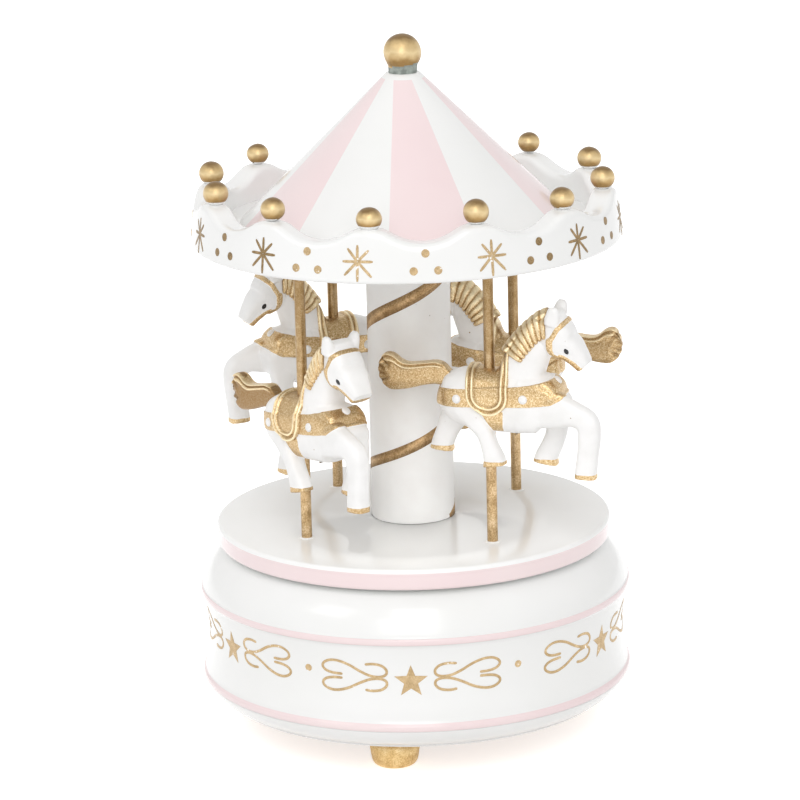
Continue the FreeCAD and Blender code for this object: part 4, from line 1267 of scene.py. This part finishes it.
# %% Tail
tail_top = ((-9.6, -0.8), (-11.0, 0.7), (-12.2, 1.3), (-13.8, 1.5), (-16.2, 1.2), (-20.1, 0.8),
            (-22.1, 1.3), (-23.8, 2.6), (-25.2, 3.1), (-26.4, 2.8), (-27.4, 1.7), (-28.1, -0.4))
tail_bottom = ((-28.1, -2.6), (-27.4, -4.2), (-26.6, -5.1), (-25.3, -6.0), (-23.6, -6.2), (-20.2, -5.7),
               (-16.4, -4.7), (-13.8, -4.3), (-12.1, -4.4), (-9.6, -4.6))
tail_half = 1.75
tail_stations = 96
tail_section = 72
tail_end = -25.6
tail_end_length = 2.7
thinnest = 0.05
bead_shares = (0.66, 0.93)
bead_width = 0.085
bead_height = 0.42
bead_start = -10.5
bead_fade = 2.0
dent_shares = (sum(bead_shares) / 2,)
dent_width = 0.07
dent_depth = 0.25
fan_middle = np.array((-22.4, -1.8))
fan_start = 1.6
fan_length = 3.4
groove_turns = [math.radians(180 + d) for d in (-34, -15, 4, 24)]
groove_half = 0.095
ridge_turns = [math.radians(180 + d) for d in (-45, -24, -5, 14, 35)]
ridge_half = 0.06
groove_depth = 0.8
notch_depth = 0.2


def clamped(value):
    return min(1.0, max(0.0, value))


top_line = np.array(smooth_line(tail_top, 8))
bottom_line = np.array(smooth_line(tail_bottom, 8))[::-1]
tail_points = []
tail_painted_light = []
for station in np.linspace(0, 1, tail_stations) ** 0.8:
    a = tail_top[0][0] + (tail_top[-1][0] - tail_top[0][0]) * station
    high = np.interp(-a, -top_line[:, 0], top_line[:, 1])
    low = np.interp(-a, -bottom_line[:, 0], bottom_line[:, 1])
    thin = math.sqrt(max(thinnest, 1 - max(0.0, (tail_end - a) / tail_end_length) ** 2))
    fade = clamped((bead_start - a) / bead_fade)
    for i in range(tail_section):
        turn = 2 * math.pi * i / tail_section
        c, s = math.cos(turn), math.sin(turn)
        rise = math.copysign(abs(c) ** 0.62, c)
        side = math.copysign(abs(s) ** 0.5, s)
        h = (high + low) / 2 + (high - low) / 2 * rise
        beads = humps(rise, bead_shares, bead_width) * fade
        dent = humps(rise, dent_shares, dent_width) * fade
        behind = a - fan_middle[0]
        above = h - fan_middle[1]
        bearing = math.atan2(above, behind) % (2 * math.pi)
        far = clamped((math.hypot(behind, above) - fan_start) / fan_length) * (behind < 0)
        groove = min(1.0, humps(bearing, groove_turns, groove_half)) * far
        ridge = min(1.0, humps(bearing, ridge_turns, ridge_half)) * far
        relief = bead_height * beads - dent_depth * dent - groove_depth * groove * thin
        out = side * tail_half * thin + math.copysign(min(1.0, abs(s) * 3), s) * relief
        tail_points.append((a + notch_depth * groove * far ** 6, out, h))
        # Painted light on the tail: painted shade in the grooves, the dent and over the fan, and painted
        # highlights on the beads and ridges.
        dark = min(1.0, 1.3 * groove + 0.7 * dent + 0.25 * far)
        tail_painted_light.append(dark - min(1.0, beads + 0.6 * ridge) ** 2)
tail_faces = grid_faces(tail_stations, tail_section)
tail_faces.append(tuple(range((tail_stations - 1) * tail_section, tail_stations * tail_section)))
tail = (tail_points, tail_faces)
print("tail:", len(tail_faces), "faces")

# %% [markdown]
# White studs sit on the straps, small drops of paint with a round edge.

# %% Studs
stud_radius = 1.1
stud_thick = 0.45
stud_places = ((-6.8, 1, -6.4), (9.9, 1, -5.7), (-6.8, -1, -6.4), (9.9, -1, -5.7))
breast_stud = Vector((16.0, 0, -3.2))
breast_way = Vector((1, 0, 1.1)).normalized()
breast_cast = 4
stud_corners = 24
stud_rings = ((0.45, 0.95), (0.8, 0.7), (1.0, 0.2), (1.0, -1.6))


def stud(middle, out):
    one = out.orthogonal().normalized()
    two = out.cross(one)
    points = [middle + out * stud_thick]
    for share, high in stud_rings:
        for i in range(stud_corners):
            turn = 2 * math.pi * i / stud_corners
            flat = (one * math.cos(turn) + two * math.sin(turn)) * stud_radius * share
            points.append(middle + flat + out * stud_thick * high)
    faces = [(0, 1 + i, 1 + (i + 1) % stud_corners) for i in range(stud_corners)]
    return points, faces + grid_faces(len(stud_rings), stud_corners, flip=True, start=1)


studs = [stud(*from_side(a, h, side)) for a, side, h in stud_places]
hit, out, _, _ = skin.ray_cast(breast_stud + breast_way * breast_cast, -breast_way)
studs.append(stud(hit, out))
print("studs:", len(studs))

# %% [markdown]
# The horse's paint is one shader. White enamel and gold paint are both there, and the distance
# stored on the skin chooses between them, with a little noise so that the edge wavers as a brush
# does. The gold also carries painted light from its relief: painted shade, in brown, in its grooves, and
# painted highlights, pale cream, on its ridges. The second number stored on the skin says where.

# %% Horse enamel and eye paint
edge_waver_mm = 1.6
edge_waver = 0.3
edge_from_to = (0.12, 0.2)
groove_shade_share = 0.6
ridge_highlight_share = 0.85
gold_metal_share = 0.8
brushed_gold = [(0.34, "#B0905F"), (0.5, "#D0B183"), (0.66, "#EEDCB6")]

horse_enamel, tree, shader, place, white = satin_paint(
    "white_and_gold_enamel_on_resin", "#FAF9F8", "#F3F2F0", "#A98F74", gloss=0.34)
stored = add(tree, "ShaderNodeAttribute", {"attribute_name": "gold"}).outputs["Fac"]
groove = add(tree, "ShaderNodeAttribute", {"attribute_name": "painted_relief_light"}).outputs["Fac"]
shifted = reckon(tree, "MULTIPLY_ADD", grain(tree, place, edge_waver_mm), edge_waver, stored)
is_gold = spread(tree, shifted, *edge_from_to)
gold_tint = graded(tree, grain(tree, place, flake_mm, 2.0, flake_rough), brushed_gold)
# Painted shade: the gold turns brown in the grooves. Painted highlight: it turns pale cream on the ridges.
groove_shaded = blend(tree, reckon(tree, "MULTIPLY", groove, groove_shade_share), gold_tint, colour("#77552C"))
bright = blend(tree, reckon(tree, "MULTIPLY", groove, -ridge_highlight_share), groove_shaded, colour("#FAEBC6"))
feed(tree, shader, {"Base Color": blend(tree, is_gold, white, bright),
                    "Metallic": reckon(tree, "MULTIPLY", is_gold, gold_metal_share)})

eye_tones = [(0.4, "#0B0B0D"), (0.7, "#1B1A1C")]
eye_paint = mottled("black_enamel_dot", eye_tones, size=0.5, detail=2.0, gloss=0.18)[0]
print("horse enamel:", len(horse_enamel.node_tree.nodes), "nodes")

# %% [markdown]
# Each eye is an almond of black enamel, laid on the side of the head. The horse is then placed four times,
# round the circle of the poles. Each one was glued at its own height and turn, as the work of a busy bench
# shows. The painted shade on its gold, and on its tail above all, is set for each horse, deepest on the
# first.

# %% Four horses
eye_place = (20.4, 6.3)
eye_half = (0.78, 0.5)
eye_lean = math.radians(-62)
eye_corners = 24
eye_narrow = 0.35
headings = (-51.8, -17.0, 165.0, -156.7)
pitches = (4.2, 0.0, 0.0, 0.0)
saddle_heights = (36.2, 43.6, 40.6, 44.5)
# Painted shade for each horse's gold and tail, deepest on the first horse.
gold_shade_tones = (0.3, 0.0, 0.1, 0.1)
tail_shade_tones = (1.2, 0.35, 0.45, 0.4)
highlight_below = -0.1
pole_circle = 32.7
pole_first = -54.1


def eye_surface(side):
    def place(across, along, lift):
        a = eye_place[0] + across * math.cos(eye_lean) - along * math.sin(eye_lean)
        h = eye_place[1] + across * math.sin(eye_lean) + along * math.cos(eye_lean)
        return from_side(a, h, side)[0] + Vector((0, side * lift, 0))
    return place


def with_painted_shade(values, tone):
    """The painted-light numbers raised to at least that tone of painted shade, all but the highlighted
    ridges.
    """
    return np.where(values < highlight_below, values, np.maximum(values, tone))


almond = []
for i in range(eye_corners):
    turn = 2 * math.pi * i / eye_corners
    narrow = 1 - eye_narrow * math.cos(turn) ** 4
    almond.append((eye_half[0] * math.cos(turn), eye_half[1] * math.sin(turn) * narrow))
eyes = [plate(almond, eye_surface(side), rings=3) for side in (1, -1)]

pieces = [((list(body_points), body_faces), body_gold, 0.0, 0), (saddle, 1.0, saddle_painted_light, 0),
          (mane_left, 1.0, mane_painted_light, 0), (mane_right, 1.0, mane_painted_light, 0), (tail, 1.0, tail_painted_light, 0)]
pieces += [(piece, -1.0, 0.0, 0) for piece in studs]
pieces += [(piece, -1.0, 0.0, 1) for piece in eyes]
points, faces = merged([piece for piece, _, _, _ in pieces])
gold = np.concatenate([np.broadcast_to(value, len(piece[0])) for piece, value, _, _ in pieces])
painted_relief_light = np.concatenate([np.broadcast_to(value, len(piece[0])) for piece, _, value, _ in pieces])
paints = [paint for piece, _, _, paint in pieces for _ in piece[1]]
tail_start = sum(len(piece[0]) for piece, _, _, _ in pieces[:4])
tail_span = slice(tail_start, tail_start + len(tail_points))

for number, (heading, pitch, height) in enumerate(zip(headings, pitches, saddle_heights), 1):
    shades = with_painted_shade(painted_relief_light, gold_shade_tones[number - 1])
    shades[tail_span] = with_painted_shade(painted_relief_light[tail_span], tail_shade_tones[number - 1])
    horse = make_object("horse_cast_%d" % number, points, faces, [horse_enamel, eye_paint], paints)
    for name, values in (("gold", gold), ("painted_relief_light", shades)):
        stored = horse.data.attributes.new(name, "FLOAT", "POINT")
        stored.data.foreach_set("value", values.astype(np.float32))
    spot = around(pole_circle, pole_first + 90 * (number - 1), table_top + height)
    turned = Matrix.Rotation(math.radians(heading), 4, "Z") @ Matrix.Rotation(math.radians(-pitch), 4, "Y")
    horse.data.transform(Matrix.Translation(spot * MM) @ turned)
    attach(horse, "carousel")
    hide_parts("horse_%d" % number)
print("horses:", len(headings), "of", len(faces), "faces")

# %% [markdown]
# What is left of the frame is right as it stands: poles, the wooden cover and the movement. They keep their
# CAD shapes and take finishes of their own. Turned and ground metals show fine lines from the tool, a die
# casting is grainy and dull, and the cover is bare beech with short dark flecks.

# %% Metals, plastic and bare wood


def drawn_out(tree, place, stretch):
    return add(tree, "ShaderNodeMapping", None, {"Vector": place, "Scale": stretch}).outputs["Vector"]


def worked_metal(name, dark, bright, gloss, grain_mm, stretch):
    material, tree, shader, place = new_material(name)
    lines = grain(tree, drawn_out(tree, place, stretch), grain_mm, 3.0)
    feed(tree, shader, {"Base Color": graded(tree, lines, [(0.3, dark), (0.7, bright)]),
                        "Roughness": spread(tree, lines, 0.0, 1.0, gloss * 0.75, gloss * 1.3),
                        "Normal": bumped(tree, lines, 0.12), "Metallic": 1.0})
    return material


machined_brass = worked_metal("machined_brass", "#A98243", "#D2AE66", gloss=0.26, grain_mm=0.5,
                              stretch=(4, 1, 4))
ground_steel = worked_metal("ground_spring_steel", "#8E9094", "#C3C5C8", gloss=0.28, grain_mm=0.5,
                            stretch=(1, 5, 5))
zinc_casting = worked_metal("die_cast_zinc", "#8B8C8C", "#A9AAA9", gloss=0.46, grain_mm=0.6,
                            stretch=(1, 1, 1))
# The poles carry painted shade: their paint browns towards the top, where the canopy's shadow falls.
pole_gold = gold_paint("bronze_powder_paint_on_steel_rod", "#9C8056", "#C2A378", "#E4CCA6",
                       gloss=0.38, bumps=0.22, top_shade="#7A6039")
plastic_tones = [(0.4, "#19191B"), (0.7, "#252528")]
fly_plastic = mottled("black_moulded_acetal", plastic_tones, size=0.8, detail=2.0, gloss=0.45)[0]

beech_grain_mm = 1.2
beech_stretch = (0.12, 1.0, 1.0)
beech_bump_depth = 0.0002
beech_tones = [(0.3, "#B98D5F"), (0.5, "#D2AA7C"), (0.7, "#DDBB92")]
bare_beech, tree, shader, place = new_material("sanded_beech")
fibres = grain(tree, drawn_out(tree, place, beech_stretch), beech_grain_mm, 4.0, 0.6)
feed(tree, shader, {"Base Color": graded(tree, fibres, beech_tones), "Roughness": 0.6,
                    "Normal": bumped(tree, fibres, 0.15, beech_bump_depth)})

finishes = {"brass": machined_brass, "steel": ground_steel, "cast_zinc": zinc_casting,
            "gold_metal": pole_gold, "gold_paint_wood": gold_with_painted_light, "white_lacquer": white_lacquer,
            "white_resin": horse_enamel, "dark_plastic": fly_plastic, "bare_wood": bare_beech}
for part in frame["record"]["subparts"]:
    node = nodes[part["node"]]
    node.data.materials.clear()
    node.data.materials.append(finishes[part["material_slot"]])
print("CAD finishes:", len(finishes))

# %% [markdown]
# The picture was made in a light tent: light comes from all round, most of it from well above, with
# three soft boxes over the front that leave pale patches on the shoulder of the base. A snoot, a lamp
# with a narrow beam, brightens the turntable under the canopy and nothing else. The floor is white
# paper. What the camera and the gloss see of the paper is topped up with plain emission, so it reads as
# white but keeps the object's shadow.

# %% Light tent
tent_tones = [(0.0, 0.55), (0.5, 0.52), (0.62, 0.7), (0.88, 0.8), (0.95, 0.6), (1.0, 0.55)]
full_white = (1.0, 1.0, 1.0, 1.0)


def looked_at(tree):
    """1 for a ray that looks at a thing, straight or by way of glass or gloss, and 0 for other light."""
    rays = add(tree, "ShaderNodeLightPath").outputs
    total = rays["Is Camera Ray"]
    for kind in ("Is Transmission Ray", "Is Glossy Ray"):
        either = add(tree, "ShaderNodeMath", {"operation": "ADD", "use_clamp": True},
                     {0: total, 1: rays[kind]})
        total = either.outputs["Value"]
    return total


world = bpy.data.worlds.new("light_tent")
bpy.context.scene.world = world
world.use_nodes = True
tree = world.node_tree
direction = add(tree, "ShaderNodeTexCoord").outputs["Generated"]
tent = graded(tree, spread(tree, upright(tree, direction), -1.0, 1.0), tent_tones)
backdrop = blend(tree, looked_at(tree), tent, full_white)
feed(tree, tree.nodes["Background"], {"Color": backdrop, "Strength": 1.0})

lamp_distance = 1.2
soft_box_target = Vector((0, 0, 0.09))
soft_boxes = (("soft_box_front", (-0.05, -0.9, 0.45), 0.65, 2.8),
              ("soft_box_over", (0.0, -0.62, 0.78), 0.4, 1.7),
              ("soft_box_left", (-0.6, -0.4, 0.7), 0.4, 0.95))
snoot_target = Vector((0, -0.014, 0.054))
snoot_way = (0.0, -0.7, 0.8)


def hang(lamp, target, way):
    """Hangs a lamp that way from its target, facing it."""
    holder = bpy.data.objects.new(lamp.name, lamp)
    holder.location = target + Vector(way).normalized() * lamp_distance
    holder.rotation_euler = (target - holder.location).to_track_quat("-Z", "Y").to_euler()
    bpy.context.scene.collection.objects.link(holder)
    return holder


for name, way, width, power in soft_boxes:
    lamp = bpy.data.lights.new(name, "AREA")
    lamp.shape = "SQUARE"
    lamp.size = width
    lamp.energy = power
    hang(lamp, soft_box_target, way)

snoot = bpy.data.lights.new("snoot_under_canopy", "SPOT")
snoot.energy = 50.0
snoot.spot_size = math.radians(2.4)
snoot.spot_blend = 1.0
snoot.shadow_soft_size = 0.012
snoot_field = bpy.data.collections.new("snoot_field")
snoot_field.objects.link(turntable_disc)
hang(snoot, snoot_target, snoot_way).light_linking.receiver_collection = snoot_field

paper_top_up = 0.68
paper_tones = [(0.3, "#F0F0F0"), (0.7, "#F3F3F3")]
paper, tree, shader = mottled("white_studio_paper", paper_tones, size=40.0, detail=2.0, gloss=0.9)
feed(tree, shader, {"Specular IOR Level": 0.0, "Emission Color": full_white,
                    "Emission Strength": reckon(tree, "MULTIPLY", looked_at(tree), paper_top_up)})

floor_half = 6.0
floor_corners = [(x * floor_half, y * floor_half, 0) for x, y in ((-1, -1), (1, -1), (1, 1), (-1, 1))]
floor_mesh = bpy.data.meshes.new("floor")
floor_mesh.from_pydata(floor_corners, [], [(0, 1, 2, 3)])
floor_mesh.materials.append(paper)
floor = bpy.data.objects.new("floor", floor_mesh)
bpy.context.scene.collection.objects.link(floor)
print("light tent:", len(soft_boxes), "soft boxes and a snoot")

# %% [markdown]
# Last, the picture is shown without a film curve, so a colour comes out as it was written.

# %% View transform
bpy.context.scene.view_settings.view_transform = "Standard"
